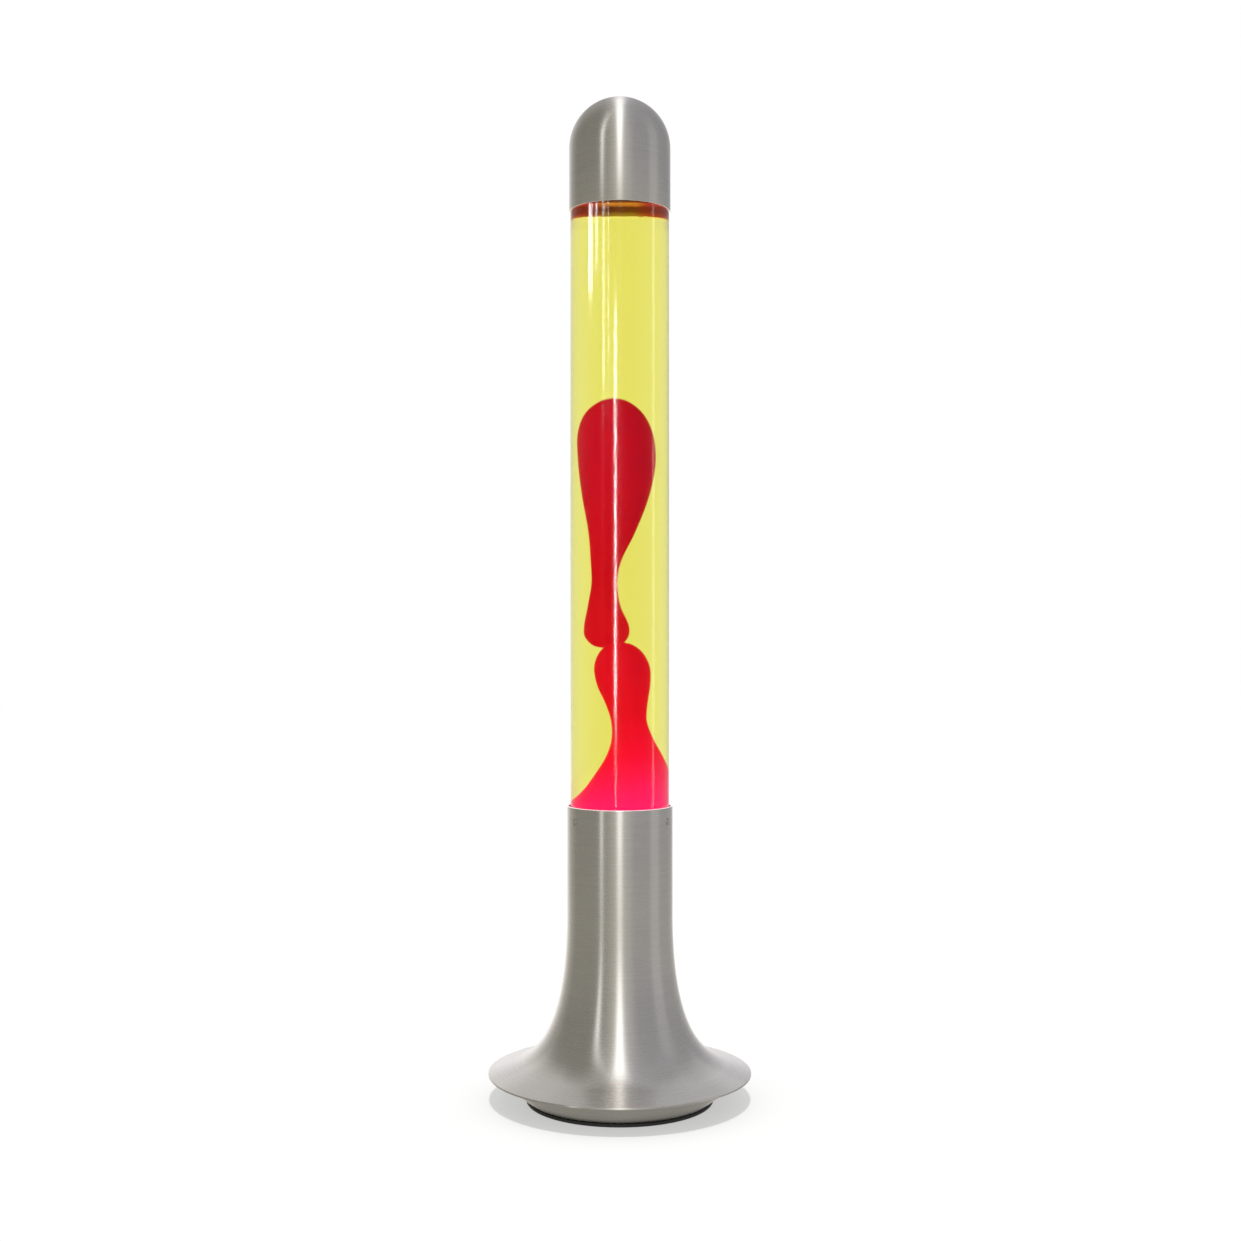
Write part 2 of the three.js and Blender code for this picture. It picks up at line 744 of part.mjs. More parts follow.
{
  const bottom = baseHeight + waxColumnShape[0][0] - 4;
  const body = rod(waxFill, bottom, liquidTop, roundSides);
  const columnOutline = [at(0, bottom - 1), at(boreRadius, bottom - 1), ...profileOf(columnLine, -fit)];
  const columnHollow = leantWax(columnOutline, columnLine, columnY);
  const blobHollow = leantWax(profileOf(blobLine, -fit), blobLine, blobY, bulbSides);
  const [columnTop, blobEnd] = [columnLine.at(-1), blobLine[0]];
  const link = rodAlongY(waxLink, -waxColumnForward, waxBlobBack, leadSides);
  link.rotateZ(Math.atan2(columnTop.y - blobEnd.y, waxColumnForward + waxBlobBack));
  link.translate((columnTop.y + blobEnd.y) / 2, 0, (columnTop.z + blobEnd.z) / 2);
  const yellow = finish(0xe8de6a, 0.1, 0, { transparent: true, opacity: 0.5 });
  add(bottle, "lamp_liquid", cut(body, columnHollow, blobHollow, link), yellow);
}
{
  const coil = new THREE.TorusGeometry(coilRadius, coilThickness, leadSides, roundSides);
  coil.rotateZ(Math.PI / 2);
  add(bottle, "wire_coil", coil, steel()).position.z = bottleFloor + fit + coilThickness;
}
{
  const liner = rod(bottleNeckRadius - 1, bottleMouth + fit, bottleMouth + fit + linerHeight, bulbSides);
  add(bottle, "closure_liner", liner, finish(0xeeeeea, 0.6, 0));
  const inside = bottleMouth + linerHeight + 2 * fit;
  const skirtRadius = bottleNeckRadius + fit + 2 * closureWall;
  const path = [
    at(skirtRadius, inside - closureSkirt),
    at(skirtRadius, inside + closureWall),
    at(0, inside + closureWall),
  ];
  add(bottle, "bottle_closure", turned(sheet(path, closureWall)), steel());
}

// ---------------------------------------------------------------- cap

{
  const path = [at(capRadius, capEdge), ...arc(0, domeCentre, capRadius, capRadius, 0, 90, 8)];
  add(cap, "dome_cap", turned(sheet(path, capWall)), aluminium());
}
{
  const across = (padInnerRadius - bottleNeckRadius) / (glassRadius - bottleNeckRadius);
  const seat = shoulderStart + shoulderRise * Math.sqrt(1 - across * across) + fit;
  const outline = [
    at(padInnerRadius, seat),
    at(capInner - fit, seat),
    at(capInner - fit, seat + padHeight),
    at(padInnerRadius, seat + padHeight),
  ];
  add(cap, "cap_pad", turned(outline), finish(0x3a3a38, 0.9, 0));
}

export default lamp;
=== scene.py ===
from math import copysign, cos, pi, radians, sin, tan

import bmesh
import bpy
from mathutils import Matrix, Vector


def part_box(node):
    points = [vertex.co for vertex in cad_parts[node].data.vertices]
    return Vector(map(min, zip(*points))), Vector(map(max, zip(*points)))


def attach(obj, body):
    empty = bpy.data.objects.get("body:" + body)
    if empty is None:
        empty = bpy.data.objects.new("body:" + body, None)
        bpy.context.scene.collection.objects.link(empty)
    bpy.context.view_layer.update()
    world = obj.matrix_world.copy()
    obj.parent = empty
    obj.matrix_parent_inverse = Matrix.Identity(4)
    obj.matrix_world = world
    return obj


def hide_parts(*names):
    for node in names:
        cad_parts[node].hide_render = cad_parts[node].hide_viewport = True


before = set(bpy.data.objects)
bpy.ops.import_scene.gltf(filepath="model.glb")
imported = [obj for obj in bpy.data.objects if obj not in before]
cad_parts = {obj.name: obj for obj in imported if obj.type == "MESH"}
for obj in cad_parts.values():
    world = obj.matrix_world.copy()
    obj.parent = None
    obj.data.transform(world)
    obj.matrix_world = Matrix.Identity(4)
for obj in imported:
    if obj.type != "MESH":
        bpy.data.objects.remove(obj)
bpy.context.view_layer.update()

# ---------------- sizes, in metres

MM = 0.001


def reach(node):
    """How far a round CAD node reaches from the axis."""
    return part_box(node)[1].y


def bottom(node):
    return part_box(node)[0].z


def top(node):
    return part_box(node)[1].z


def span(node):
    return bottom(node), top(node)


FIT = 0.3 * MM
SIDES = 160

# Base
BASE_WALL = MM
NECK = reach("seat_ring") + FIT + BASE_WALL
MOUTH = top("trumpet_base")
RIM = reach("trumpet_base")
RIM_Z = 22.3 * MM
FLARE_START = 141.8 * MM
FLARE = (
    (NECK, FLARE_START),
    (NECK, 11.7 * MM),
    (RIM - 8.5 * MM, RIM_Z + 10.6 * MM),
    (RIM, RIM_Z),
)
RIVET_ANGLES = (-57, 63, 183)
RIVET_Z = MOUTH - 10.6 * MM
RIVET_SUNK = 0.45 * MM  # how far each rivet's dimple goes into the neck's wall
FOOT_RADIUS = 70 * MM
DISH_WALL = 1.2 * MM
FLANGE = slice(74, 79)  # the points of the flare that the dish's flange lies under

# Plate, bracket and wiring
SCREW_HOLE = 1.8 * MM
PLATE_SCREW_CIRCLE = 52 * MM
BRACKET_SCREW_X = 37 * MM
HOLDER_SCREW_X = 18.5 * MM
BLOCK_SCREW = (4.5 * MM, 26 * MM)
EARTH_Y, EARTH_HOLE = -30 * MM, 2.1 * MM
VENTS, VENT_CIRCLE, VENT_HOLE = 12, 22 * MM, 3 * MM
INLET_Z = (top("cord_grommet") + bottom("cord_grommet")) / 2
GROMMET_FLANGE = 1.4 * MM
HOLDER_Z = bottom("lampholder_body")
LEAD_X = 6 * MM
POLES = (-9 * MM, 0.0, 9 * MM)
BLOCK_Y = 26 * MM
POLE_Z = bottom("terminal_block") + 5.2 * MM

# Bulb
BULB = reach("bulb_glass")
BULB_TOP = top("bulb_glass")
BULB_Z = bottom("bulb_tip")
BULB_CAP = 13.2 * MM
BULB_NECK = 12.2 * MM
FACE_RISE = 13 * MM
THREAD_PITCH = 3.63 * MM

# Bottle
GLASS = reach("glass_bottle")
GLASS_WALL = 2.5 * MM
BORE = GLASS - GLASS_WALL
HEEL = 5 * MM
BOTTLE_Z = bottom("glass_bottle")
BOTTLE_FLOOR = BOTTLE_Z + GLASS_WALL
SHOULDER_Z = bottom("dome_cap") + 16 * MM
SHOULDER_RISE = 20 * MM
BOTTLE_NECK = 14.5 * MM
LIQUID_Z = top("lamp_liquid")

# Cap
CAP = reach("dome_cap")
CAP_EDGE = bottom("dome_cap")
CAP_WALL = 0.6 * MM
DOME_Z = CAP_EDGE + 48 * MM

# ---------------- outlines


def arc(centre, radius_r, radius_z, start, end, steps):
    """Points of an arc in (radius, height), between two angles in degrees."""
    points = []
    for i in range(steps + 1):
        angle = radians(start + (end - start) * i / steps)
        points.append((centre[0] + radius_r * cos(angle), centre[1] + radius_z * sin(angle)))
    return points


def bezier(handles, steps):
    """Points of a cubic curve with four handles."""
    points = []
    for i in range(steps + 1):
        t = i / steps
        weights = ((1 - t) ** 3, 3 * t * (1 - t) ** 2, 3 * t * t * (1 - t), t**3)
        points.append(tuple(sum(w * h[k] for w, h in zip(weights, handles)) for k in (0, 1)))
    return points


def offset(path, distance):
    """A path moved to its left. A point on the axis stays on it."""
    path = [Vector(p) for p in path]
    moved = []
    for i, point in enumerate(path):
        before = point - path[i - 1] if i else path[1] - point
        after = path[i + 1] - point if i < len(path) - 1 else before
        left = [Vector((-d.y, d.x)).normalized() for d in (before, after)]
        if abs(point.x) < 1e-7:
            moved.append((0.0, point.y + copysign(distance, left[0].y * distance)))
            continue
        mitre = (left[0] + left[1]) / (1 + left[0].dot(left[1]))
        moved.append(tuple(point + mitre * distance))
    return moved


def rounded(corners, steps=5):
    """An open path of (radius, height, fillet) corners, with each fillet as an arc."""
    points = []
    for i, (r, z, fillet) in enumerate(corners):
        corner = Vector((r, z))
        if not fillet or i in (0, len(corners) - 1):
            points.append((r, z))
            continue
        back = Vector(corners[i - 1][:2]) - corner
        ahead = Vector(corners[i + 1][:2]) - corner
        half = back.angle(ahead) / 2
        reach_along = min(fillet / tan(half), 0.48 * back.length, 0.48 * ahead.length)
        fillet = reach_along * tan(half)
        centre = corner + (back.normalized() + ahead.normalized()).normalized() * (fillet / sin(half))
        start = corner + back.normalized() * reach_along - centre
        end = corner + ahead.normalized() * reach_along - centre
        turn = start.angle_signed(end)
        for k in range(steps + 1):
            share = -turn * k / steps
            across = start.x * cos(share) - start.y * sin(share)
            up = start.x * sin(share) + start.y * cos(share)
            points.append((centre.x + across, centre.y + up))
    return points


def smooth_through(points, steps):
    """A centripetal Catmull-Rom curve through points."""
    points = [Vector(p) for p in points]
    points = [2 * points[0] - points[1]] + points + [2 * points[-1] - points[-2]]
    line = []
    for a, b, c, d in zip(points, points[1:], points[2:], points[3:]):
        ab, bc, cd = ((q - p).length ** 0.5 for p, q in ((a, b), (b, c), (c, d)))
        out = ((b - a) / ab - (c - a) / (ab + bc) + (c - b) / bc) * bc
        into = ((c - b) / bc - (d - b) / (bc + cd) + (d - c) / cd) * bc
        for k in range(steps):
            t = k / steps
            line.append(
                b * (2 * t**3 - 3 * t**2 + 1) + out * (t**3 - 2 * t**2 + t)
                + c * (3 * t**2 - 2 * t**3) + into * (t**3 - t**2)
            )
    return line + [points[-2]]


def smoothstep(value, low, high):
    """Goes smoothly from 0 at low to 1 at high."""
    share = min(1, max(0, (value - low) / (high - low)))
    return share * share * (3 - 2 * share)


def sheet(path, thickness):
    """The closed outline of sheet metal along a path, to the path's left."""
    return path + offset(path, thickness)[::-1]


# ---------------- meshes


def new_object(name, data):
    obj = bpy.data.objects.new(name, data)
    bpy.context.scene.collection.objects.link(obj)
    return obj


def clean(bm, sharp_above=32):
    """Merges doubles, turns the faces outwards and shades them smooth but for the sharp edges."""
    bmesh.ops.remove_doubles(bm, verts=bm.verts, dist=1e-7)
    bmesh.ops.recalc_face_normals(bm, faces=bm.faces)
    for face in bm.faces:
        face.smooth = True
    for edge in bm.edges:
        edge.smooth = edge.calc_face_angle(0) < radians(sharp_above)


def built(name, bm, sharp_above=32):
    """An object from an edited mesh, cleaned and shaded."""
    clean(bm, sharp_above)
    mesh = bpy.data.meshes.new(name)
    bm.to_mesh(mesh)
    bm.free()
    return new_object(name, mesh)


def angles_round(count):
    return [2 * pi * i / count for i in range(count)]


def turned(name, outline, sides=SIDES, closed=True, shape=None):
    """A body of revolution about Z. shape(angle, r, z) may move each point's radius and height."""
    bm = bmesh.new()
    rings = []
    for angle in angles_round(sides):
        ring = []
        for r, z in outline:
            if shape:
                r, z = shape(angle, r, z)
            ring.append(bm.verts.new((r * sin(angle), -r * cos(angle), z)))
        rings.append(ring)
    count = len(outline)
    for i in range(sides):
        here, there = rings[i], rings[(i + 1) % sides]
        for k in range(count if closed else count - 1):
            m = (k + 1) % count
            if outline[k][0] < 1e-7 and outline[m][0] < 1e-7:
                continue
            bm.faces.new((here[k], there[k], there[m], here[m]))
    return built(name, bm)


def loft(name, stations, sides=96):
    """A closed skin through round sections: each is height, radius, x and y of its centre."""
    bm = bmesh.new()
    rings = []
    for z, radius, x, y in stations:
        sections = [(x + radius * sin(angle), y - radius * cos(angle), z) for angle in angles_round(sides)]
        rings.append([bm.verts.new(place) for place in sections])
    for low, high in zip(rings, rings[1:]):
        for i in range(sides):
            j = (i + 1) % sides
            bm.faces.new((low[i], low[j], high[j], high[i]))
    return built(name, bm, 60)


def wire(name, points, radius, sides=8, closed=False):
    """A round wire through points, as a mesh."""
    curve = bpy.data.curves.new(name, "CURVE")
    curve.dimensions = "3D"
    curve.bevel_depth = radius
    curve.bevel_resolution = max(1, sides // 4)
    curve.use_fill_caps = not closed
    spline = curve.splines.new("POLY")
    spline.points.add(len(points) - 1)
    for target, point in zip(spline.points, points):
        target.co = (*point, 1)
    spline.use_cyclic_u = closed
    holder = new_object(name + "_curve", curve)
    graph = bpy.context.evaluated_depsgraph_get()
    mesh = bpy.data.meshes.new_from_object(holder.evaluated_get(graph))
    bpy.data.objects.remove(holder)
    mesh.name = name
    for polygon in mesh.polygons:
        polygon.use_smooth = True
    return new_object(name, mesh)


def cut(obj, *tools, operation="DIFFERENCE"):
    """Takes the tools' shapes out of obj, or joins or crosses them with it."""
    for tool in tools:
        modifier = obj.modifiers.new("cut", "BOOLEAN")
        modifier.operation = operation
        modifier.solver = "EXACT"
        modifier.object = tool
        graph = bpy.context.evaluated_depsgraph_get()
        mesh = bpy.data.meshes.new_from_object(obj.evaluated_get(graph))
        obj.modifiers.clear()
        obj.data = mesh
        bpy.data.objects.remove(tool)
    bm = bmesh.new()
    bm.from_mesh(obj.data)
    clean(bm)
    bm.to_mesh(obj.data)
    bm.free()
    return obj


def prism(name, outline, low, high, soften=0.0):
    """A prism with an outline in XZ, between two places along Y, with its edges softened."""
    bm = bmesh.new()
    near, far = ([bm.verts.new((x, y, z)) for x, z in outline] for y in (low, high))
    bm.faces.new(near)
    bm.faces.new(far[::-1])
    for i in range(len(outline)):
        j = (i + 1) % len(outline)
        bm.faces.new((near[j], near[i], far[i], far[j]))
    bmesh.ops.recalc_face_normals(bm, faces=bm.faces)
    if soften:
        sharp = [edge for edge in bm.edges if edge.calc_face_angle(0) > radians(50)]
        bmesh.ops.bevel(bm, geom=sharp, offset=soften, segments=2, affect="EDGES", profile=0.5)
    return built(name, bm)


def rod(name, radius, low, high, x=0.0, y=0.0, sides=32, chamfer=0.0):
    """An upright rod at x and y."""
    outline = [(0, low), (radius - chamfer, low), (radius, low + chamfer)]
    outline += [(radius, high - chamfer), (radius - chamfer, high), (0, high)]
    if not chamfer:
        outline = [(0, low), (radius, low), (radius, high), (0, high)]
    return moved(turned(name, outline, sides), x, y)


def moved(obj, x=0.0, y=0.0, z=0.0, turn=Matrix()):
    """Turns an object's mesh, and then moves it."""
    obj.data.transform(Matrix.Translation((x, y, z)) @ turn)
    return obj


def turn_about(axis, degrees):
    return Matrix.Rotation(radians(degrees), 4, axis)


def drill(radius, low, high, x=0.0, y=0.0, sides=20):
    """An upright round cutter."""
    return rod("tool", radius, low, high, x, y, sides)


def pair(x):
    return (-x, x)


def piece(obj, body, slot, materials, *stands_for):
    """Puts a piece on its body, with its materials and the CAD nodes it stands for. Its slot is not used."""
    for material in materials if isinstance(materials, list) else [materials]:
        obj.data.materials.append(material)
    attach(obj, body)
    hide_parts(*stands_for)


# ---------------- materials


def tone(color, factor=1.0):
    """A colour made lighter or darker, with its alpha."""
    return tuple(min(1, c * factor) for c in color) + (1,)


class Nodes:
    """A node tree, with short calls to add and join its nodes."""

    def __init__(self, tree):
        self.tree = tree

    def feed(self, socket, value):
        if isinstance(value, bpy.types.NodeSocket):
            self.tree.links.new(value, socket)
        else:
            socket.default_value = value

    def node(self, kind, settings=None, **inputs):
        made = self.tree.nodes.new("ShaderNode" + kind)
        for name, value in (settings or {}).items():
            setattr(made, name, value)
        for name, value in inputs.items():
            self.feed(made.inputs[name.replace("_", " ")], value)
        return made

    def maths(self, operation, *values):
        """A sum, as MAXIMUM or SINE, of numbers or sockets."""
        made = self.node("Math", {"operation": operation})
        for socket, value in zip(made.inputs, values):
            self.feed(socket, value)
        return made.outputs[0]

    def times(self, first, second):
        return self.maths("MULTIPLY", first, second)

    def plus(self, first, second):
        return self.maths("ADD", first, second)

    def ramp(self, value, stops):
        """A colour ramp through (position, (red, green, blue)) stops."""
        made = self.node("ValToRGB", Fac=value)
        elements = made.color_ramp.elements
        for element, (position, color) in zip(elements, (stops[0], stops[-1])):
            element.position, element.color = position, (*color, 1)
        for position, color in stops[1:-1]:
            elements.new(position).color = (*color, 1)
        return made.outputs["Color"]

    def place(self):
        """The x, y and z of the surface point, in metres."""
        coordinates = self.node("TexCoord").outputs["Object"]
        return self.node("SeparateXYZ", Vector=coordinates).outputs

    def noise(self, scale, detail=3.0, roughness=0.55, vector=None):
        """Noise with its features 1 / scale metres apart, or in the vector's own units."""
        vector = vector or self.node("TexCoord").outputs["Object"]
        made = self.node("TexNoise", Vector=vector, Scale=scale, Detail=detail, Roughness=roughness)
        return made.outputs["Fac"]

    def range(self, value, low, high, from_low=0.25, from_high=0.75):
        """Maps from_low to low and from_high to high, and goes no further. Noise needs no limits."""
        limits = {"From_Min": from_low, "From_Max": from_high, "To_Min": low, "To_Max": high}
        return self.node("MapRange", Value=value, **limits).outputs["Result"]

    def mix(self, share, first, second):
        made = self.node("Mix", {"data_type": "RGBA"})
        for index, value in ((0, share), (6, first), (7, second)):
            self.feed(made.inputs[index], value)
        return made.outputs[2]

    def bump(self, height, distance, strength):
        return self.node("Bump", Height=height, Distance=distance, Strength=strength).outputs["Normal"]

    def round_the_axis(self, across, along):
        """Coordinates for marks that run round the Z axis: across them per metre, along them per turn."""
        x, y, z = self.place()
        squares = [self.times(side, side) for side in (x, y)]
        radius = self.maths("POWER", self.plus(*squares), 0.5)
        radius = self.maths("MAXIMUM", radius, 0.1 * MM)
        made = self.node("CombineXYZ")
        for socket, side in zip(made.inputs, (x, y)):
            self.feed(socket, self.times(self.maths("DIVIDE", side, radius), along))
        self.feed(made.inputs["Z"], self.times(self.maths("SUBTRACT", radius, z), across))
        return made.outputs[0]


class Shader(Nodes):
    """A material and its main shader."""

    def __init__(self, name, **values):
        self.material = bpy.data.materials.new(name)
        self.material.use_nodes = True
        super().__init__(self.material.node_tree)
        self.bsdf = self.tree.nodes["Principled BSDF"]
        self.set(**values)

    def set(self, **values):
        """Sets or links the main shader's own sockets, as Base_Color=..."""
        for name, value in values.items():
            self.feed(self.bsdf.inputs[name.replace("_", " ")], value)
        return self


def spun_metal(name, color):
    """Sheet metal spun on a lathe: fine grooves round the axis, soft bands and faint tarnish."""
    s = Shader(name, Metallic=1.0, Anisotropic=0.9, Anisotropic_Rotation=0.25)
    fine = s.noise(1.0, 2.0, 0.6, s.round_the_axis(2600, 2.2))
    coarse = s.noise(1.0, 2.0, 0.5, s.round_the_axis(620, 1.1))
    bands = s.noise(1.0, 1.0, 0.5, s.round_the_axis(60, 0.6))
    tarnish = s.noise(22, 4.0, 0.6)
    lines = s.plus(s.times(fine, 0.6), s.times(coarse, 0.4))
    shade = s.plus(s.times(lines, 0.65), s.times(tarnish, 0.35))
    s.set(Base_Color=s.mix(s.range(shade, 0, 1, 0.38, 0.62), tone(color, 0.93), tone(color, 1.04)))
    s.set(Roughness=s.plus(s.range(lines, -0.02, 0.02), s.range(bands, 0.26, 0.285)))
    s.set(Normal=s.bump(lines, 0.008 * MM, 0.36))
    s.set(Tangent=s.node("Tangent", {"direction_type": "RADIAL", "axis": "Z"}).outputs[0])
    return s.material


def plated_steel(name, color=(0.56, 0.56, 0.55)):
    """Rolled steel with a bright zinc skin: cloudy spangle and small scratches."""
    s = Shader(name, Metallic=1.0)
    place = s.node("TexCoord").outputs["Object"]
    spangle = s.node("TexVoronoi", {"feature": "F1"}, Vector=place, Scale=420.0).outputs["Distance"]
    cloud = s.noise(90, 4.0, 0.6)
    shade = s.plus(s.times(spangle, 0.3), s.times(cloud, 0.7))
    s.set(Base_Color=s.mix(s.range(shade, 0, 1, 0.3, 0.7), tone(color, 0.8), tone(color)))
    s.set(Roughness=s.range(cloud, 0.28, 0.45))
    s.set(Normal=s.bump(s.noise(1800, 2.0), 0.01 * MM, 0.5))
    return s.material


def moulded(name, color, roughness=0.5, grain=900, depth=0.02, variation=0.12):
    """Moulded rubber or plastic: fine pebble, slight mottling."""
    s = Shader(name)
    mottle = s.range(s.noise(140, 3.0), 0, 1)
    s.set(Base_Color=s.mix(mottle, tone(color, 1 - variation), tone(color, 1 + variation)))
    s.set(Roughness=s.range(s.noise(320, 2.0), roughness - 0.06, roughness + 0.08))
    s.set(Normal=s.bump(s.noise(grain, 2.0), depth * MM, 0.5))
    return s.material


# Where glass meets liquid their indices nearly match, so hardly any light is thrown back.
WETTED = 0.02


def drawn_glass(name, polish):
    """Clear tube glass, with the faint lengthwise draw lines of a drawn tube."""
    s = Shader(name, Base_Color=(0.985, 0.995, 0.985, 1), Transmission_Weight=1.0, IOR=1.48)
    s.set(Specular_Tint=(WETTED, WETTED, WETTED, 1), Coat_Weight=polish, Coat_Roughness=0.10)
    x, y, z = s.place()
    lengthwise = s.node("CombineXYZ")
    for socket, value in zip(lengthwise.inputs, (x, y)):
        s.feed(socket, value)
    draw = s.noise(70, 1.0, 0.5, lengthwise.outputs[0])
    s.set(Roughness=s.range(s.noise(35, 3.0), 0.0, 0.012, 0.4, 0.8))
    s.set(Normal=s.bump(draw, 0.04 * MM, 0.25))
    return s.material


def lamp_liquid():
    """Dyed water: clear yellow that deepens with the light's path through it."""
    s = Shader("yellow_liquid", Base_Color=(1, 1, 1, 1), Roughness=0.0, Transmission_Weight=1.0, IOR=1.333)
    s.set(Specular_Tint=(WETTED, WETTED, WETTED, 1))
    volume = s.node("VolumeAbsorption")
    volume.inputs["Color"].default_value = (0.907, 0.87, 0.03, 1)
    volume.inputs["Density"].default_value = 30.0
    s.tree.links.new(volume.outputs[0], s.tree.nodes["Material Output"].inputs["Volume"])
    return s.material


def lit_wax(low, high):
    """Molten red wax, with a painted glow for the bulb's light from below, strongest at the pool, and
    painted shade on its right side higher up.
    """
    s = Shader("lit_wax", Roughness=0.25, IOR=1.07, Specular_IOR_Level=0.15, Emission_Strength=1.0)
    x, y, z = s.place()
    swirl = s.noise(38, 3.0, 0.5)
    height = s.plus(z, s.range(swirl, -4 * MM, 4 * MM))
    share = s.range(height, 0, 1, low, high)
    # Painted glow: the emission runs from pink at the pool to darker red higher up.
    glow = s.ramp(share, (
        (0.0, (1.0, 0.012, 0.17)), (0.07, (0.97, 0.008, 0.115)), (0.15, (0.89, 0.0, 0.035)),
        (0.26, (0.70, 0.0, 0.010)), (0.5, (0.57, 0.0, 0.012)), (0.75, (0.48, 0.0, 0.014)),
        (1.0, (0.43, 0.0, 0.015)),
    ))
    # Painted shade: higher up, the right side is darker and more purple.
    shaded = s.mix(s.range(x, 0, 1, -4 * MM, 12 * MM), (1, 1, 1, 1), (0.84, 0.8, 0.95, 1))
    lit = s.node("Mix", {"data_type": "RGBA", "blend_type": "MULTIPLY"})
    for index, value in ((0, s.range(share, 0, 1, 0.25, 0.6)), (6, glow), (7, shaded)):
        s.feed(lit.inputs[index], value)
    cloud = s.range(s.noise(60, 3.0), 0, 1)
    s.set(Base_Color=s.ramp(cloud, ((0.0, (0.10, 0.001, 0.003)), (1.0, (0.15, 0.002, 0.004)))))
    s.set(Emission_Color=lit.outputs[2])
    s.set(Normal=s.bump(swirl, 0.6 * MM, 0.3))
    return s.material


def lit_lining():
    """The cap's inside, with a painted glow for the lamp's light on it: red at the sides and brown to orange
    up its back, with a painted white reflection along its lower edge.
    """
    s = Shader("cap_lining", Metallic=0.5, Roughness=0.5, Emission_Strength=1.0)
    x, y, z = s.place()
    crinkle = s.noise(520, 3.0, 0.7)
    height = s.plus(z, s.range(crinkle, -0.8 * MM, 0.8 * MM))
    share = s.range(height, 0, 1, CAP_EDGE, CAP_EDGE + 12 * MM)
    # Both ramps are painted light: the lowest stops are a painted white reflection of the room at the lower
    # edge, the rest is painted glow.
    back = s.ramp(share, (
        (0.0, (1.0, 1.0, 1.0)), (0.12, (1.0, 1.0, 1.0)), (0.16, (0.33, 0.23, 0.015)),
        (0.30, (0.27, 0.165, 0.008)), (0.44, (0.095, 0.022, 0.001)), (0.72, (0.085, 0.014, 0.001)),
        (0.83, (0.52, 0.17, 0.06)), (1.0, (0.72, 0.30, 0.13)),
    ))
    sides = s.ramp(share, (
        (0.0, (1.0, 0.95, 0.85)), (0.12, (1.0, 0.9, 0.7)), (0.16, (0.44, 0.06, 0.004)),
        (0.28, (0.36, 0.035, 0.004)), (0.45, (0.15, 0.004, 0.001)), (0.8, (0.22, 0.003, 0.006)),
        (1.0, (0.60, 0.05, 0.12)),
    ))
    # The painted light changes round the cap: brown to orange across the middle, red towards the sides.
    aside = s.maths("DIVIDE", s.maths("ABSOLUTE", x), CAP)
    s.set(Emission_Color=s.mix(s.range(aside, 0, 1, 0.14, 0.27), back, sides))
    s.set(Base_Color=s.ramp(crinkle, ((0.0, (0.20, 0.07, 0.03)), (1.0, (0.30, 0.08, 0.02)))))
    s.set(Normal=s.bump(crinkle, 0.3 * MM, 0.7))
    return s.material


def lit_edge():
    """The mouth's bare edge, with a painted glow for the light that leaks up round the bottle."""
    s = Shader("mouth_edge", Metallic=1.0, Roughness=0.2, Emission_Strength=0.75)
    nicks = s.noise(1.0, 2.0, 0.5, s.round_the_axis(300, 40))
    s.set(Base_Color=s.ramp(nicks, ((0.3, (0.75, 0.73, 0.70)), (0.7, (0.92, 0.90, 0.87)))))
    # Painted glow: a pinkish white emission along the edge.
    s.set(Emission_Color=s.ramp(nicks, ((0.3, (0.75, 0.55, 0.58)), (0.6, (1.0, 0.88, 0.88)))))
    return s.material


def felt(name, color):
    """Pressed felt: short fibres with a soft sheen."""
    s = Shader(name, Roughness=0.95, Sheen_Weight=0.4, Sheen_Roughness=0.5)
    fibres = s.noise(1500, 4.0, 0.7)
    s.set(Base_Color=s.mix(s.range(fibres, 0, 1), tone(color, 0.6), tone(color)))
    s.set(Normal=s.bump(fibres, 0.15 * MM, 0.8))
    return s.material


ALUMINIUM = spun_metal("spun_aluminium", (0.79, 0.775, 0.735))
CAP_LINING = lit_lining()
MOUTH_EDGE = lit_edge()
STEEL = plated_steel("plated_steel")
BRASS = plated_steel("bright_brass", (0.78, 0.58, 0.26))
NICKEL = plated_steel("bright_nickel", (0.72, 0.70, 0.66))
BRIGHT = plated_steel("rivet_steel", (0.74, 0.73, 0.70))
RUBBER = moulded("black_rubber", (0.018, 0.018, 0.018), roughness=0.6)
NYLON = moulded("natural_nylon", (0.80, 0.78, 0.71), roughness=0.4, grain=500)
PORCELAIN = moulded("glazed_porcelain", (0.84, 0.81, 0.74), 0.16, grain=260, depth=0.03, variation=0.04)
BROWN = moulded("brown_insulation", (0.16, 0.055, 0.02), roughness=0.4)
BLUE = moulded("blue_insulation", (0.02, 0.10, 0.42), roughness=0.4)
LINER = moulded("white_liner", (0.82, 0.82, 0.79), roughness=0.6)
GLASS_OUTSIDE = drawn_glass("drawn_glass", 0.22)
GLASS_INSIDE = drawn_glass("wetted_glass", 0.0)
LIQUID = lamp_liquid()
FELT = felt("black_felt", (0.06, 0.06, 0.065))


def striped_insulation():
    """Green insulation with a yellow stripe that winds round the lead."""
    s = Shader("green_yellow_insulation", Roughness=0.4)
    x, y, z = s.place()
    slanted = s.plus(y, s.times(x, 2.0))
    stripe = s.range(s.maths("SINE", s.times(slanted, 900)), 0, 1, 0.25, 0.35)
    s.set(Base_Color=s.mix(stripe, (0.04, 0.28, 0.05, 1), (0.75, 0.62, 0.04, 1)))
    s.set(Normal=s.bump(s.noise(700, 2.0), 0.02 * MM, 0.5))
    return s.material


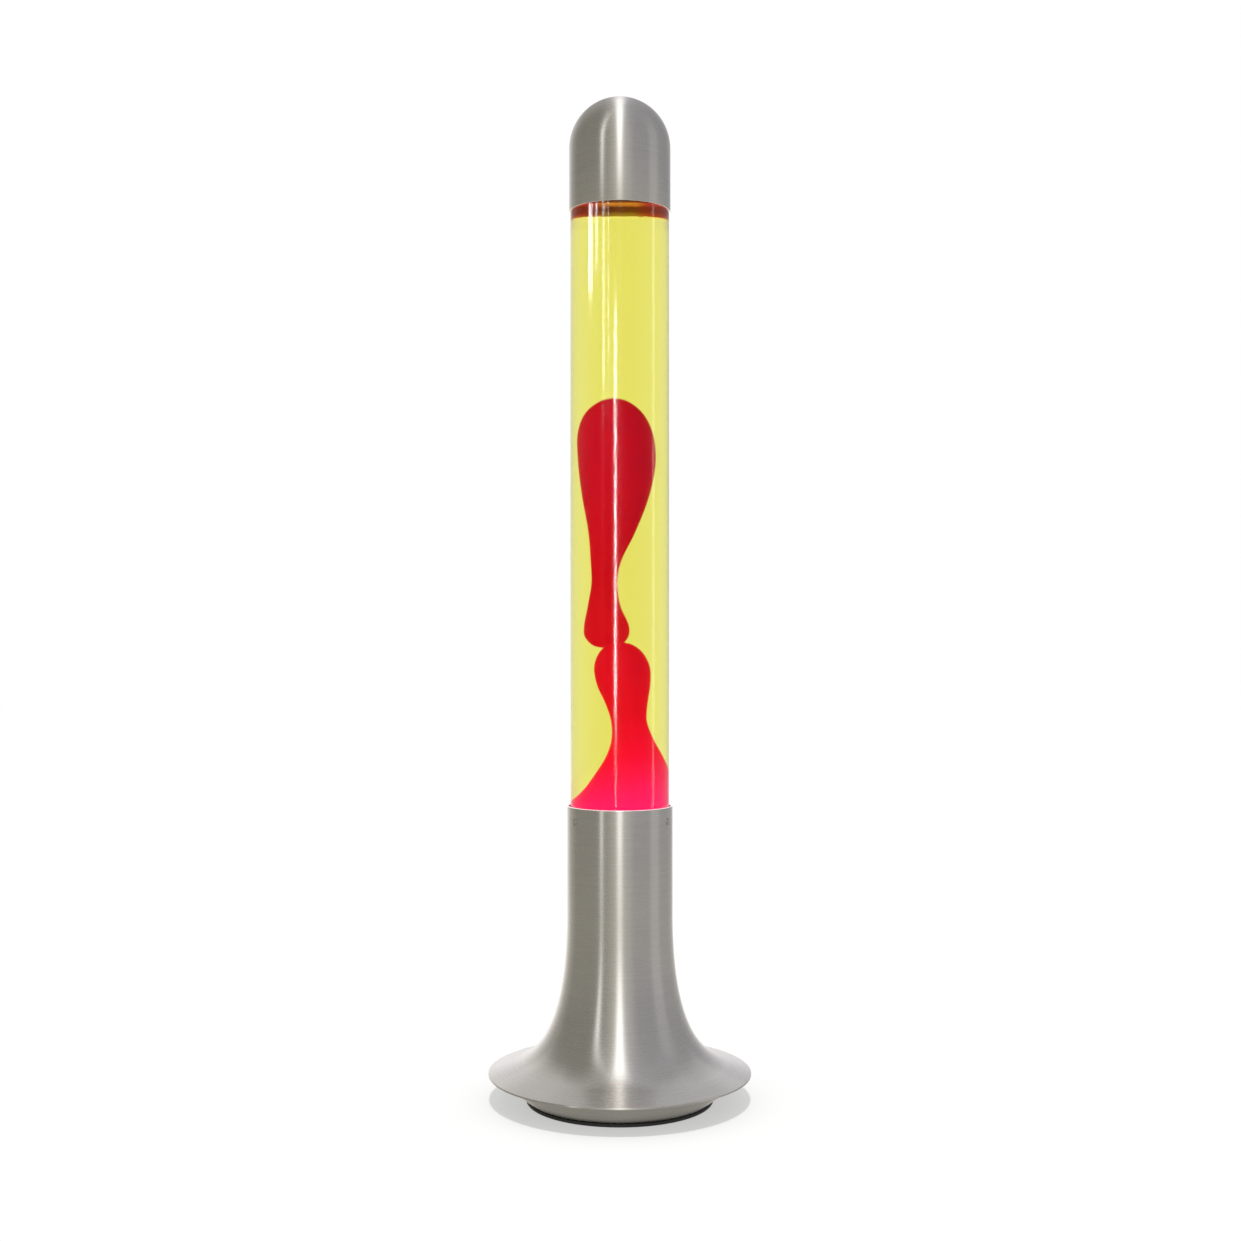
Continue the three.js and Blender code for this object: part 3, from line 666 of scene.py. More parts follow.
def bulb_glass():
    """A reflector bulb: silvered cone, frosted face."""
    s = Shader("bulb_glass", IOR=1.5)
    x, y, z = s.place()
    face = s.range(z, 0, 1, top("bulb_glass") - 14 * MM, top("bulb_glass") - 11 * MM)
    s.set(Base_Color=s.mix(face, (0.8, 0.8, 0.79, 1), (0.93, 0.92, 0.87, 1)))
    s.set(Metallic=s.maths("SUBTRACT", 1.0, face))
    grain = s.range(s.noise(400, 2.0), 0.08, 0.14)
    s.set(Roughness=s.plus(s.times(face, 0.35), grain))
    s.set(Emission_Color=s.mix(face, (0, 0, 0, 1), (1.0, 0.72, 0.42, 1)), Emission_Strength=1.5)
    return s.material


GREEN_YELLOW = striped_insulation()
BULB_GLASS = bulb_glass()

# ---------------- camera, light and floor

CAMERA_BACK = 1.262
CAMERA_HEIGHT = 0.363
LENS, SENSOR = 48.15, 36
SHIFT = (0.0006, 0.0012)  # the photo's lamp stands a little off the picture's middle


def camera():
    """A level camera in front of the lamp, where the photo's camera stood."""
    data = bpy.data.cameras.new("camera")
    data.sensor_width = SENSOR
    data.lens = LENS
    data.shift_x, data.shift_y = SHIFT
    obj = new_object("camera", data)
    obj.location = (0, -CAMERA_BACK, CAMERA_HEIGHT)
    obj.rotation_euler = (radians(90), 0, 0)
    bpy.context.scene.camera = obj


def softbox(name, size, power, place, turn, seen_by):
    """A light panel that lights only one group of pieces, and that the camera doesn't see."""
    data = bpy.data.lights.new(name, "AREA")
    data.shape = "RECTANGLE"
    data.size, data.size_y = size
    data.energy = power
    obj = new_object(name, data)
    obj.location = place
    obj.rotation_euler = turn
    obj.visible_camera = False
    obj.visible_transmission = False
    obj.light_linking.receiver_collection = seen_by


def group(name, *objects):
    made = bpy.data.collections.new(name)
    for obj in objects:
        made.objects.link(obj)
    return made


# The upright softboxes that the glass reflects: azimuth in degrees (0 is the front, positive is to
# the right), width, height of the lower edge, height of the box and power.
STREAK_DISTANCE = 2.3
STREAKS = {
    "streak_front": (-10, 0.26, 0.02, 1.04, 62),
    "streak_front_low": (-9, 0.20, -0.5, 0.52, 8),
    "streak_left_1": (-26, 0.10, 0.82, 1.5, 15),
    "streak_left_2": (-37.5, 0.20, 0.82, 1.5, 32),
    "streak_left_3": (-55, 0.24, 1.16, 1.2, 36),
    "streak_left_4": (-71.5, 0.50, 1.09, 1.2, 80),
    "streak_right": (84, 0.30, -0.6, 3.0, 14),
}


def streaks(glass):
    """Softboxes that only the bottle's glass reflects, as the upright streaks down it."""
    only_glass = group("lit_by_streaks", glass)
    for name, (azimuth, width, base, height, power) in STREAKS.items():
        angle = radians(azimuth)
        x, y = STREAK_DISTANCE * sin(angle), -STREAK_DISTANCE * cos(angle)
        turn = (radians(90), 0, angle)
        softbox(name, (width, height), power, (x, y, base + height / 2), turn, only_glass)


def brim_lights(base):
    """Two softboxes high behind the lamp, which brighten the brim's left and right."""
    only_base = group("lit_by_brim_lights", base)
    distance, size = 2.2, 1.3
    for name, side, power in (("brim_left", -1, 1.1), ("brim_right", 1, 0.7)):
        towards = Vector((0.45 * side, 0.62, 0.64)).normalized()
        turn = towards.to_track_quat("Z", "Y").to_euler()
        softbox(name, (size, size), power, towards * distance, turn, only_base)


def floor_sun(plane):
    """A hard overhead light for the floor alone, which draws the crisp edge of the lamp's shadow."""
    sun = bpy.data.lights.new("overhead", "SUN")
    sun.energy = 2.8
    sun.angle = radians(4)
    obj = new_object("overhead", sun)
    obj.rotation_euler = (radians(19), 0, 0)
    obj.visible_glossy = False
    obj.light_linking.receiver_collection = group("lit_by_sun", plane)


# What the polished metal sees round the room: azimuth in degrees, brightness.
WALLS = (
    (-180, 1.0), (-165, 0.95), (-150, 0.62), (-132, 0.34), (-112, 0.22), (-62, 0.225), (-50, 0.24),
    (-30, 0.27), (-20, 0.34), (0, 0.40), (20, 0.40), (32, 0.33), (68, 0.315), (72, 0.41), (92, 0.41),
    (96, 0.325), (128, 0.30), (148, 0.36), (163, 0.55), (174, 0.9), (180, 1.0),
)
LEFT_STRIP = ((-180, 0), (-44, 0), (-42, 1.1), (-38, 1.1), (-36, 0), (180, 0))
# The long softbox that runs from the front over the lamp: sideways share of a direction, brightness.
LONG_STRIP = (
    (-0.45, 0), (-0.24, 0.08), (-0.13, 0.18), (-0.10, 0.5), (-0.055, 1.35), (0.05, 1.35), (0.10, 0.4),
    (0.15, 0.15), (0.25, 0.07), (0.5, 0),
)
WARM = (1.05, 1.0, 0.88)
COOL = (0.985, 0.975, 1.03)


def studio():
    """A white studio. The lamp and floor are lit evenly, and the metal sees grey walls and two strips."""
    world = bpy.data.worlds.new("studio")
    bpy.context.scene.world = world
    world.use_nodes = True
    world.node_tree.nodes.clear()
    s = Nodes(world.node_tree)
    x, y, z = s.node("SeparateXYZ", Vector=s.node("TexCoord").outputs["Generated"]).outputs
    azimuth = s.maths("ARCTAN2", x, s.times(y, -1.0))
    turn = s.range(azimuth, 0, 1, -pi, pi)

    def looked_up(share, table):
        """A brightness from a table. A ramp is used up to 1 only, so it's halved and then doubled."""
        return s.times(s.ramp(share, [(at, (level / 2,) * 3) for at, level in table]), 2.0)

    def around(table):
        return looked_up(turn, [(0.5 + angle / 360, level) for angle, level in table])

    def scaled(color, level):
        made = s.node("VectorMath", {"operation": "SCALE"})
        s.feed(made.inputs[0], color)
        s.feed(made.inputs["Scale"], level)
        return made.outputs[0]

    tint = s.ramp(turn, [(0.0, COOL), (0.2, WARM), (0.5, WARM), (0.58, COOL), (1.0, COOL)])
    level = s.maths("MINIMUM", around(WALLS), s.range(z, 1.0, 0.36, 0.12, 0.6))
    level = s.times(level, s.range(z, 1.34, 1.0, -0.3, 0.1))
    tint = s.mix(s.range(z, 0.7, 0.0, -0.3, 0.1), tint, (*WARM, 1))
    level = s.times(level, s.range(z, 0, 1, -0.5, -0.25))
    walls = scaled(tint, s.plus(level, s.range(z, 0.31, 0.0, -0.5, -0.25)))
    across = s.range(x, 0, 1, -0.5, 0.5)
    long_strip = looked_up(across, [(0.5 + at, level) for at, level in LONG_STRIP])
    ahead = s.maths("MAXIMUM", s.range(y, 1, 0, -0.2, 0.2), s.range(z, 0, 0.75, 0.4, 0.9))
    strips = s.plus(around(LEFT_STRIP), s.times(long_strip, ahead))
    strips = s.times(strips, s.range(z, 0.10, 1.07, -0.15, 0.10))
    whole = s.node("VectorMath", {"operation": "ADD"})
    s.feed(whole.inputs[0], walls)
    s.feed(whole.inputs[1], scaled((1.0, 1.0, 1.02), strips))
    path = s.node("LightPath").outputs
    seen = s.mix(path["Is Glossy Ray"], (1, 1, 1, 1), whole.outputs[0])
    seen = s.mix(path["Is Transmission Ray"], seen, (1, 1, 1, 1))
    seen = s.mix(path["Is Diffuse Ray"], seen, (1.0, 1.0, 1.0, 1))
    background = s.node("Background", Color=seen)
    s.tree.links.new(background.outputs[0], s.node("OutputWorld").inputs["Surface"])


def floor():
    """A white floor with a light of its own, so that shadows on it stay pale."""
    plane = turned("floor", [(0, 0), (6, 0)], 64, closed=False)
    plane.data.flip_normals()
    s = Shader("pale_floor", Roughness=0.8, Specular_IOR_Level=0.0, Emission_Strength=0.47)
    s.set(Base_Color=s.mix(s.range(s.noise(3.0, 3.0), 0, 1), (0.30, 0.30, 0.30, 1), (0.31, 0.31, 0.305, 1)))
    s.set(Emission_Color=(1, 1, 1, 1))
    plane.data.materials.append(s.material)
    plane.visible_glossy = False
    return plane


camera()
studio()
floor_sun(floor())
bpy.context.scene.view_settings.view_transform = "Standard"

# ---------------- base


def flare():
    """The base's curve from the neck to the rim. Its last stretch is a straight brim."""
    curve, steps = bezier(FLARE, 80)[:57], 24
    r, z = curve[-1]
    return curve + [(r + (RIM - r) * k / steps, z + (RIM_Z - z) * k / steps) for k in range(1, steps + 1)]


def on_the_neck(obj, angle):
    """Moves a part made upright on the axis to a rivet's place on the neck."""
    return moved(obj, z=RIVET_Z, turn=turn_about("Z", angle) @ turn_about("X", 90))


def trumpet_base():
    soft = 0.7 * MM
    neck = [(NECK - BASE_WALL / 2, MOUTH)] + arc((NECK - soft, MOUTH - soft), soft, soft, 80, 0, 6)
    lip = [(RIM + r * MM, RIM_Z - z * MM) for r, z in ((0.15, 0.06), (0.25, 0.15), (0.3, 0.3), (0.3, 1.2))]
    outside = neck + flare() + lip
    inside = offset([(NECK, MOUTH - soft)] + flare() + lip, -BASE_WALL)
    obj = turned("trumpet_base_spun", outside + inside[::-1])
    dimple = (2.8 * MM, NECK - RIVET_SUNK, NECK + 5 * MM)
    cut(obj, *[on_the_neck(drill(*dimple, sides=40), angle) for angle in RIVET_ANGLES])
    piece(obj, "base", "spun_aluminium", [ALUMINIUM, MOUTH_EDGE], "trumpet_base")
    # The faces at the top of the mouth take the edge material, with its painted glow.
    for polygon in obj.data.polygons:
        if polygon.center.z > MOUTH - 0.55 * soft:
            polygon.material_index = 1
    return obj


def dish_flange():
    """The dish's outer flange, which lies under the trumpet's rim."""
    return offset(flare(), -(BASE_WALL + FIT + DISH_WALL))[FLANGE]


def dish_side():
    return [(FOOT_RADIUS, bottom("foot_dish")), dish_flange()[0]]


def foot_dish():
    floor_z, recess = bottom("foot_dish"), 4 * MM
    flange = dish_flange()
    corners = [
        (46 * MM, floor_z + recess, 0),
        (59.3 * MM, floor_z + recess, 1.2 * MM),
        (60.3 * MM, floor_z, 1.2 * MM),
        (FOOT_RADIUS, floor_z, 2.5 * MM),
        (*flange[0], 2.0 * MM),
        (*flange[-1], 0),
    ]
    obj = turned("foot_dish_spun", sheet(rounded(corners), DISH_WALL))
    cut(obj, inlet_tool(4.8 * MM), *plate_holes())
    piece(obj, "base", "spun_aluminium", ALUMINIUM, "foot_dish")


def inlet_tool(radius, sides=32):
    """A level rod through the back of the dish, where the cord goes in."""
    return moved(drill(radius, 50 * MM, 100 * MM, sides=sides), z=INLET_Z, turn=turn_about("X", -90))


def ring(count, radius, first):
    """Places on a circle, the first at an angle in degrees."""
    angles = [radians(first + 360 / count * i) for i in range(count)]
    return [(radius * cos(angle), radius * sin(angle)) for angle in angles]


def through_plate(radius, places, sides=20):
    return [drill(radius, 0, 15 * MM, x, y, sides) for x, y in places]


def plate_holes():
    return through_plate(SCREW_HOLE, ring(4, PLATE_SCREW_CIRCLE, 45))


def foot_ring():
    outer, height = reach("foot_ring"), top("foot_ring")
    inner, lip, edge = outer - 9 * MM, 0.7 * MM, 0.4 * MM
    corners = [(inner + lip, 0, 0), (outer - lip, 0, 0), (outer, lip, lip)]
    corners += [(outer, height, edge), (inner, height, edge), (inner, lip, 0)]
    piece(turned("foot_ring_rubber", rounded(corners)), "base", "rubber", RUBBER, "foot_ring")


def neck_rivets():
    """Domed rivets with a hollow in the middle, as the photo shows. Each is made upright first."""
    shank, face, tail = 1.3, NECK - 0.4 * MM, NECK - BASE_WALL - 1.1 * MM
    # Radius, height over the face and fillet, in millimetres.
    profile = (
        (shank, 0, 0), (2.15, 0, 0.1), (2.05, 0.45, 0.5), (1.0, 0.95, 0.8),
        (0.55, 0.9, 0.2), (0.45, 0.45, 0.1), (0, 0.4, 0),
    )
    head = rounded([(r * MM, face + z * MM, fillet * MM) for r, z, fillet in profile])
    outline = [(0, tail), (shank * MM, tail)] + head
    for i, angle in enumerate(RIVET_ANGLES, 1):
        obj = on_the_neck(turned(f"neck_rivet_{i}_head", outline, 40), angle)
        piece(obj, "base", "spun_aluminium", BRIGHT, f"neck_rivet_{i}")


def seat_ring():
    outer, low = reach("seat_ring"), bottom("seat_ring")
    corners = [(outer, top("seat_ring"), 0), (outer, low, 1.2 * MM), (GLASS - 5 * MM, low, 0)]
    obj = turned("seat_ring_pressed", sheet(rounded(corners), -0.8 * MM))
    piece(obj, "base", "zinc_steel", STEEL, "seat_ring")


def bottom_plate():
    low, high = span("bottom_plate")
    edge, soft = reach("bottom_plate"), 0.3 * MM
    outline = rounded([(0, low, 0), (edge, low, soft), (edge, high, soft), (0, high, 0)], 3)
    obj = turned("bottom_plate_pressed", outline, 96)
    cut(
        obj,
        *plate_holes(),
        *through_plate(VENT_HOLE, ring(VENTS, VENT_CIRCLE, 15), 28),
        *through_plate(SCREW_HOLE, [(x, 0) for x in pair(BRACKET_SCREW_X)] + [BLOCK_SCREW]),
        *through_plate(EARTH_HOLE, [(0, EARTH_Y)]),
    )
    piece(obj, "base", "zinc_steel", STEEL, "bottom_plate")


def screw_slot(middle, z, deep=MM):
    """A cutter for a screwdriver slot across a screw's end."""
    length, width = 10 * MM, 0.8 * MM
    outline = [(-length, z - deep), (length, z - deep), (length, z + deep), (-length, z + deep)]
    return moved(prism("tool", outline, -width / 2, width / 2), middle.x, middle.y)


def pan_screws():
    """The slotted screws under the plate, the bracket and the block, each on its CAD screw's place."""
    shank, root, head = 1.4 * MM, 1.15 * MM, 2.9 * MM
    slot_depth, turns = 0.707 * MM, 8
    names = [f"plate_screw_{i}" for i in range(1, 5)] + ["bracket_screw_1", "bracket_screw_2"]
    names += ["block_screw", "lampholder_screw_1", "lampholder_screw_2"]
    for name in names:
        low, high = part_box(name)
        middle = (low + high) / 2
        z, under = low.z, low.z + MM
        outline = rounded([
            (0, z, 0), (2.2 * MM, z, 0.3 * MM), (head, z + 0.5 * MM, 0.3 * MM),
            (head, under, 0.1 * MM), (shank, under, 0),
        ], 3)
        thread, pitch = z + 1.1 * MM, (high.z - z - 1.6 * MM) / turns
        for i in range(turns):
            outline += [(shank, thread + pitch * i), (root, thread + pitch * (i + 0.5))]
        outline += [(1.3 * MM, high.z - 0.4 * MM), (0, high.z)]
        obj = moved(turned(name + "_pan", outline, 28), middle.x, middle.y)
        cut(obj, screw_slot(middle, z, slot_depth))
        piece(obj, "base", "zinc_steel", STEEL, name)


def grommet():
    """The rubber grommet at the back. Its flanges follow the dish's slope and its bore is level."""
    side = dish_side()
    outer, inner = -(FIT + GROMMET_FLANGE), DISH_WALL + FIT + GROMMET_FLANGE

    def band(near, far):
        return turned("band", offset(side, near) + offset(side, far)[::-1])

    obj = cut(band(outer, -FIT), band(DISH_WALL + FIT, inner), operation="UNION")
    cut(obj, inlet_tool(6.9 * MM, 64), operation="INTERSECT")
    sleeve = cut(band(outer - 0.1 * MM, inner), inlet_tool(4.5 * MM, 64), operation="INTERSECT")
    cut(obj, sleeve, operation="UNION")
    cut(obj, inlet_tool(3.3 * MM, 64))
    obj.name = "cord_grommet_moulded"
    piece(obj, "base", "rubber", RUBBER, "cord_grommet")


def screw_thread(wave, low, high, fade_in, fade_out):
    """A shape for a rolled screw thread between two heights, fading out at its ends."""
    def thread(angle, r, z):
        fade = smoothstep(z, low, low + fade_in) * (1 - smoothstep(z, high - fade_out, high))
        return r + wave * fade * cos(2 * pi * z / THREAD_PITCH - angle), z

    return thread


def lampholder():
    """The porcelain lampholder, its thread shell and its contact leaf."""
    outer, high = reach("lampholder_body"), top("lampholder_body")
    bore, waist, floor_z = 15.1 * MM, outer - 1.2 * MM, HOLDER_Z + 6 * MM
    outline = rounded([
        (0, HOLDER_Z, 0), (outer, HOLDER_Z, 0.8 * MM), (outer, HOLDER_Z + 9 * MM, 0.6 * MM),
        (waist, HOLDER_Z + 10.5 * MM, 0.8 * MM), (waist, high - 5 * MM, MM),
        (outer, high - 4 * MM, 0.8 * MM), (outer, high, 1.6 * MM), (bore, high, 0.7 * MM),
        (bore, floor_z, 0.5 * MM), (0, floor_z, 0),
    ])
    obj = turned("lampholder_porcelain", outline, 96)
    under, hole = HOLDER_Z - MM, 1.7 * MM
    tools = [drill(hole, under, HOLDER_Z + 11 * MM, x) for x in pair(HOLDER_SCREW_X)[::-1]]
    tools += [drill(hole, under, floor_z + MM, x) for x in pair(LEAD_X)[::-1]]
    cut(obj, *tools)
    piece(obj, "base", "ceramic", PORCELAIN, "lampholder_body")

    low, high = span("lampholder_shell")
    steps = 60
    path = [(14.5 * MM, low + (high - low) * i / steps) for i in range(steps + 1)]
    thread = screw_thread(0.22 * MM, low + 2 * MM, high - 2 * MM, 3 * MM, 2 * MM)
    obj = turned("lampholder_sleeve", sheet(path, 0.4 * MM), 96, shape=thread)
    piece(obj, "base", "contact_brass", BRASS, "lampholder_shell")

    low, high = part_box("lampholder_contact")
    wall, half = 0.6 * MM, 3 * MM
    leaf = rounded([
        (low.x, low.z, 0), (low.x + 2 * MM, low.z, 1.5 * MM), (-half, high.z - wall, 2 * MM),
        (half, high.z - wall, 0),
    ])
    obj = prism("lampholder_contact_leaf", sheet(leaf, wall), low.y, high.y, 0.12 * MM)
    piece(obj, "base", "contact_brass", BRASS, "lampholder_contact")


def bracket():
    """A bent strip: two feet on the plate, and a bridge that the lampholder stands on."""
    low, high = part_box("lamp_bracket")
    wall, past = 1.5 * MM, 5 * MM
    bridge = high.z - wall
    half = rounded([
        (-high.x, low.z, 0), (-31 * MM, low.z, 2.5 * MM), (-29 * MM, bridge, 3 * MM), (0, bridge, 0),
    ])
    path = half + [(-x, z) for x, z in half[-2::-1]]
    obj = prism("lamp_bracket_bent", sheet(path, wall), low.y, high.y, 0.25 * MM)
    for screw_x, z in ((BRACKET_SCREW_X, low.z), (HOLDER_SCREW_X, high.z)):
        cut(obj, *[drill(SCREW_HOLE, z - past, z + past, x) for x in pair(screw_x)])
    cut(obj, drill(9 * MM, high.z - past, high.z + past, sides=48))
    piece(obj, "base", "zinc_steel", STEEL, "lamp_bracket")


def terminals():
    """A three-pole terminal block and its six screws."""
    low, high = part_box("terminal_block")
    ledge = high.z - 2.2 * MM
    outline = [(low.x, low.z), (high.x, low.z), (high.x, ledge)]
    for pole in POLES[::-1]:
        outline += [(pole + 4.3 * MM, ledge), (pole + 3.2 * MM, high.z)]
        outline += [(pole - 3.2 * MM, high.z), (pole - 4.3 * MM, ledge)]
    outline.append((low.x, ledge))
    obj = prism("terminal_block_moulded", outline, low.y, high.y, 0.35 * MM)
    tools = []
    for pole in POLES:
        bore = drill(1.6 * MM, -20 * MM, 20 * MM, sides=24)
        tools.append(moved(bore, pole, BLOCK_Y, POLE_Z, turn_about("X", 90)))
        tools += [drill(1.9 * MM, POLE_Z, high.z + MM, pole, BLOCK_Y + y, 28) for y in (-4 * MM, 4 * MM)]
    tools.append(drill(SCREW_HOLE, low.z - MM, low.z + 4.6 * MM, *BLOCK_SCREW))
    cut(obj, *tools)
    piece(obj, "base", "block_nylon", NYLON, "terminal_block")
    for i in range(1, 7):
        low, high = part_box(f"terminal_screw_{i}")
        middle = (low + high) / 2
        radius = high.y - middle.y
        name = f"terminal_screw_{i}_slotted"
        obj = rod(name, radius, low.z, high.z, middle.x, middle.y, chamfer=0.25 * MM)
        cut(obj, screw_slot(middle, high.z))
        piece(obj, "base", "contact_brass", BRASS, f"terminal_screw_{i}")


def leads():
    """Three insulated leads from the block: two to the lampholder and one to the earth tag."""
    lead, pole_x = 1.1 * MM, 9 * MM
    front = BLOCK_Y - 8 * MM
    start = front + 3 * MM
    halfway = (POLE_Z + top("lamp_bracket")) / 2
    on_tag = bottom("earth_tag") + 0.8 * MM + FIT + lead
    earth_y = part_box("earth_tag")[0].y + 4 * MM

    def to_holder(side):
        return [
            (side * pole_x, start, POLE_Z), (side * pole_x, front - 2 * MM, POLE_Z),
            (side * 8.5 * MM, front - 9 * MM, POLE_Z + 3 * MM),
            (side * (LEAD_X + MM), 3 * MM, halfway - 6 * MM),
            (side * LEAD_X, 0, halfway + 6 * MM), (side * LEAD_X, 0, HOLDER_Z + 3 * MM),
        ]

    to_earth = [
        (0, start, POLE_Z), (0, front - 2 * MM, POLE_Z), (0, 3 * MM, POLE_Z - 0.5 * MM),
        (0, -12 * MM, on_tag + MM), (0, earth_y + 8 * MM, on_tag), (0, earth_y + 5 * MM, on_tag),
    ]
    for name, slot, points, material in (
        ("lead_live", "lead_brown", to_holder(-1), BROWN),
        ("lead_neutral", "lead_blue", to_holder(1), BLUE),
        ("lead_earth", "lead_green_yellow", to_earth, GREEN_YELLOW),
    ):
        obj = wire(name + "_insulated", smooth_through(points, 10), lead, 12)
        piece(obj, "base", slot, material, name)


def earth():
    """The earth tag and the screw that holds it to the plate."""
    low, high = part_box("earth_tag")
    radius, half = 4 * MM, 2 * MM
    middle_y = low.y + radius
    obj = rod("earth_tag_stamped", radius, low.z, high.z, 0, middle_y, 48, 0.1 * MM)
    outline = [(-half, low.z), (half, low.z), (half, high.z), (-half, high.z)]
    cut(obj, prism("tool", outline, middle_y, high.y, 0.1 * MM), operation="UNION")
    cut(obj, drill(EARTH_HOLE, low.z - MM, high.z + MM, 0, middle_y, 32))
    piece(obj, "base", "contact_brass", BRASS, "earth_tag")
    low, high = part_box("earth_screw")
    shank, head, neck = 1.8 * MM, 3.4 * MM, high.z - 2 * MM
    outline = rounded([
        (0, low.z, 0), (shank, low.z, 0.3 * MM), (shank, neck, 0), (head, neck, 0.2 * MM),
        (head, high.z, 0.7 * MM), (0, high.z, 0),
    ], 4)
    obj = moved(turned("earth_screw_cheese", outline, 40), 0, middle_y)
    cut(obj, screw_slot(Vector((0, middle_y, 0)), high.z))
    piece(obj, "base", "contact_brass", BRASS, "earth_screw")


brim_lights(trumpet_base())
foot_dish()
foot_ring()
neck_rivets()
seat_ring()
bottom_plate()
pan_screws()
grommet()
lampholder()
bracket()
terminals()
leads()
earth()

# ---------------- bulb


def bulb_envelope():
    widest, cone = BULB_TOP - FACE_RISE, BULB_Z + 39 * MM
    handles = ((BULB_NECK, cone), (BULB_NECK, cone + 14 * MM), (BULB, widest - 24 * MM), (BULB, widest))
    outside = [(BULB_NECK, bottom("bulb_glass")), (BULB_NECK, cone)] + bezier(handles, 28)[1:]
    outside += arc((0, widest), BULB, FACE_RISE, 0, 90, 24)[1:]
    piece(turned("bulb_blown", sheet(outside, MM), 96), "bulb", "bulb_glass", BULB_GLASS, "bulb_glass")


def bulb_cap():
    """The Edison screw cap and its contact."""
    low, high = span("bulb_cap")
    thread_low, thread_high = BULB_Z + 7.5 * MM, BULB_Z + 21 * MM
    wave, steps = 0.35 * MM, 64
    middle = BULB_CAP - wave
    path = rounded([
        (5.7 * MM, low, 0), (9 * MM, low + 1.5 * MM, 2 * MM),
        (middle, thread_low - 0.7 * MM, 0.8 * MM), (middle, thread_low, 0),
    ])[:-1]
    path += [(middle, thread_low + (thread_high - thread_low) * i / steps) for i in range(steps + 1)]
    path += [(middle, high - 0.5 * MM), (middle - 0.1 * MM, high)]
    thread = screw_thread(wave, thread_low, thread_high, 1.5 * MM, 2 * MM)
    obj = turned("bulb_cap_rolled", sheet(path, 0.35 * MM), 96, shape=thread)
    piece(obj, "bulb", "bulb_metal", NICKEL, "bulb_cap")
    radius, high = reach("bulb_tip"), top("bulb_tip")
    outline = rounded([
        (0, BULB_Z, 0), (2.2 * MM, BULB_Z + 0.1 * MM, MM), (3.4 * MM, BULB_Z + 0.9 * MM, 0.8 * MM),
        (radius, BULB_Z + 1.6 * MM, 0.6 * MM), (radius, high, 0.3 * MM), (0, high, 0),
    ])
    piece(turned("bulb_tip_soldered", outline, 64), "bulb", "bulb_metal", NICKEL, "bulb_tip")


def bulb_filament():
    """A coiled filament that sags between its two supports."""
    low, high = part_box("bulb_filament")
    winding, turns, steps = 0.7 * MM, 14, 168
    end = low.x + 0.6 * MM
    coil = []
    for i in range(steps + 1):
        share, turn = i / steps, 2 * pi * turns * i / steps
        sag = 3 * MM * (2 * share - 1) ** 2
        z = high.z - 1.2 * MM - sag + winding * cos(turn)
        coil.append(Vector((end * (1 - 2 * share), winding * sin(turn), z)))
    bends = [(-4 * MM, 0, low.z), (-5 * MM, 0, low.z + 26 * MM), (end, 0, high.z - 4 * MM)]
    support = smooth_through(bends, 8)
    points = support + coil + [Vector((-x, y, z)) for x, y, z in support[::-1]]
    piece(wire("bulb_filament_coiled", points, 0.25 * MM, 8), "bulb", "bulb_metal", NICKEL, "bulb_filament")


bulb_envelope()
bulb_cap()
bulb_filament()

# ---------------- bottle


def bottle_path():
    """The bottle's outside, from the middle of its floor up to its mouth."""
    floor = [(r * MM, BOTTLE_Z + z * MM) for r, z in ((0, 1.2), (14, 1.0), (24, 0.35))]
    heel = arc((GLASS - HEEL, BOTTLE_Z + HEEL), HEEL, HEEL, -90, 0, 8)
    shoulder = arc((BOTTLE_NECK, SHOULDER_Z), GLASS - BOTTLE_NECK, SHOULDER_RISE, 0, 84, 22)
    mouth, bead = top("glass_bottle"), MM
    finish = rounded([
        (*shoulder[-1], 0),
        (BOTTLE_NECK, SHOULDER_Z + SHOULDER_RISE + 2.5 * MM, MM),
        (BOTTLE_NECK, mouth - 6 * MM, 0.5 * MM),
        (BOTTLE_NECK + 0.3 * MM, mouth - bead, bead),
        (BOTTLE_NECK - 0.6 * MM, mouth, 0),
    ])
    return floor + heel + shoulder + finish[1:]


def bottle():
    obj = turned("glass_bottle_drawn", sheet(bottle_path(), GLASS_WALL))
    piece(obj, "bottle", "bottle_glass", [GLASS_OUTSIDE, GLASS_INSIDE], "glass_bottle")
    for polygon in obj.data.polygons:
        centre = polygon.center
        inward = centre.xy.dot(polygon.normal.xy) < 0 or (centre.xy.length < BORE and polygon.normal.z > 0.5)
        if inward and centre.z < LIQUID_Z:
            polygon.material_index = 1
    return obj


def liquid():
    """The liquid wets the glass, so its skin lies just inside the wall, with a meniscus at the top."""
    wet = 0.08 * MM
    wall, soft = BORE + wet, 2.5 * MM
    climb, out, steps = 1.6 * MM, 2.6 * MM, 6
    heel = arc((wall - soft, BOTTLE_FLOOR + soft), soft, soft, -90, 0, 6)
    meniscus = [(wall - out * k / steps, LIQUID_Z + climb * (1 - k / steps) ** 3) for k in range(steps + 1)]
    obj = turned("liquid_body", [(0, BOTTLE_FLOOR - wet)] + heel + meniscus + [(0, LIQUID_Z)])
    piece(obj, "bottle", "liquid", LIQUID, "lamp_liquid")


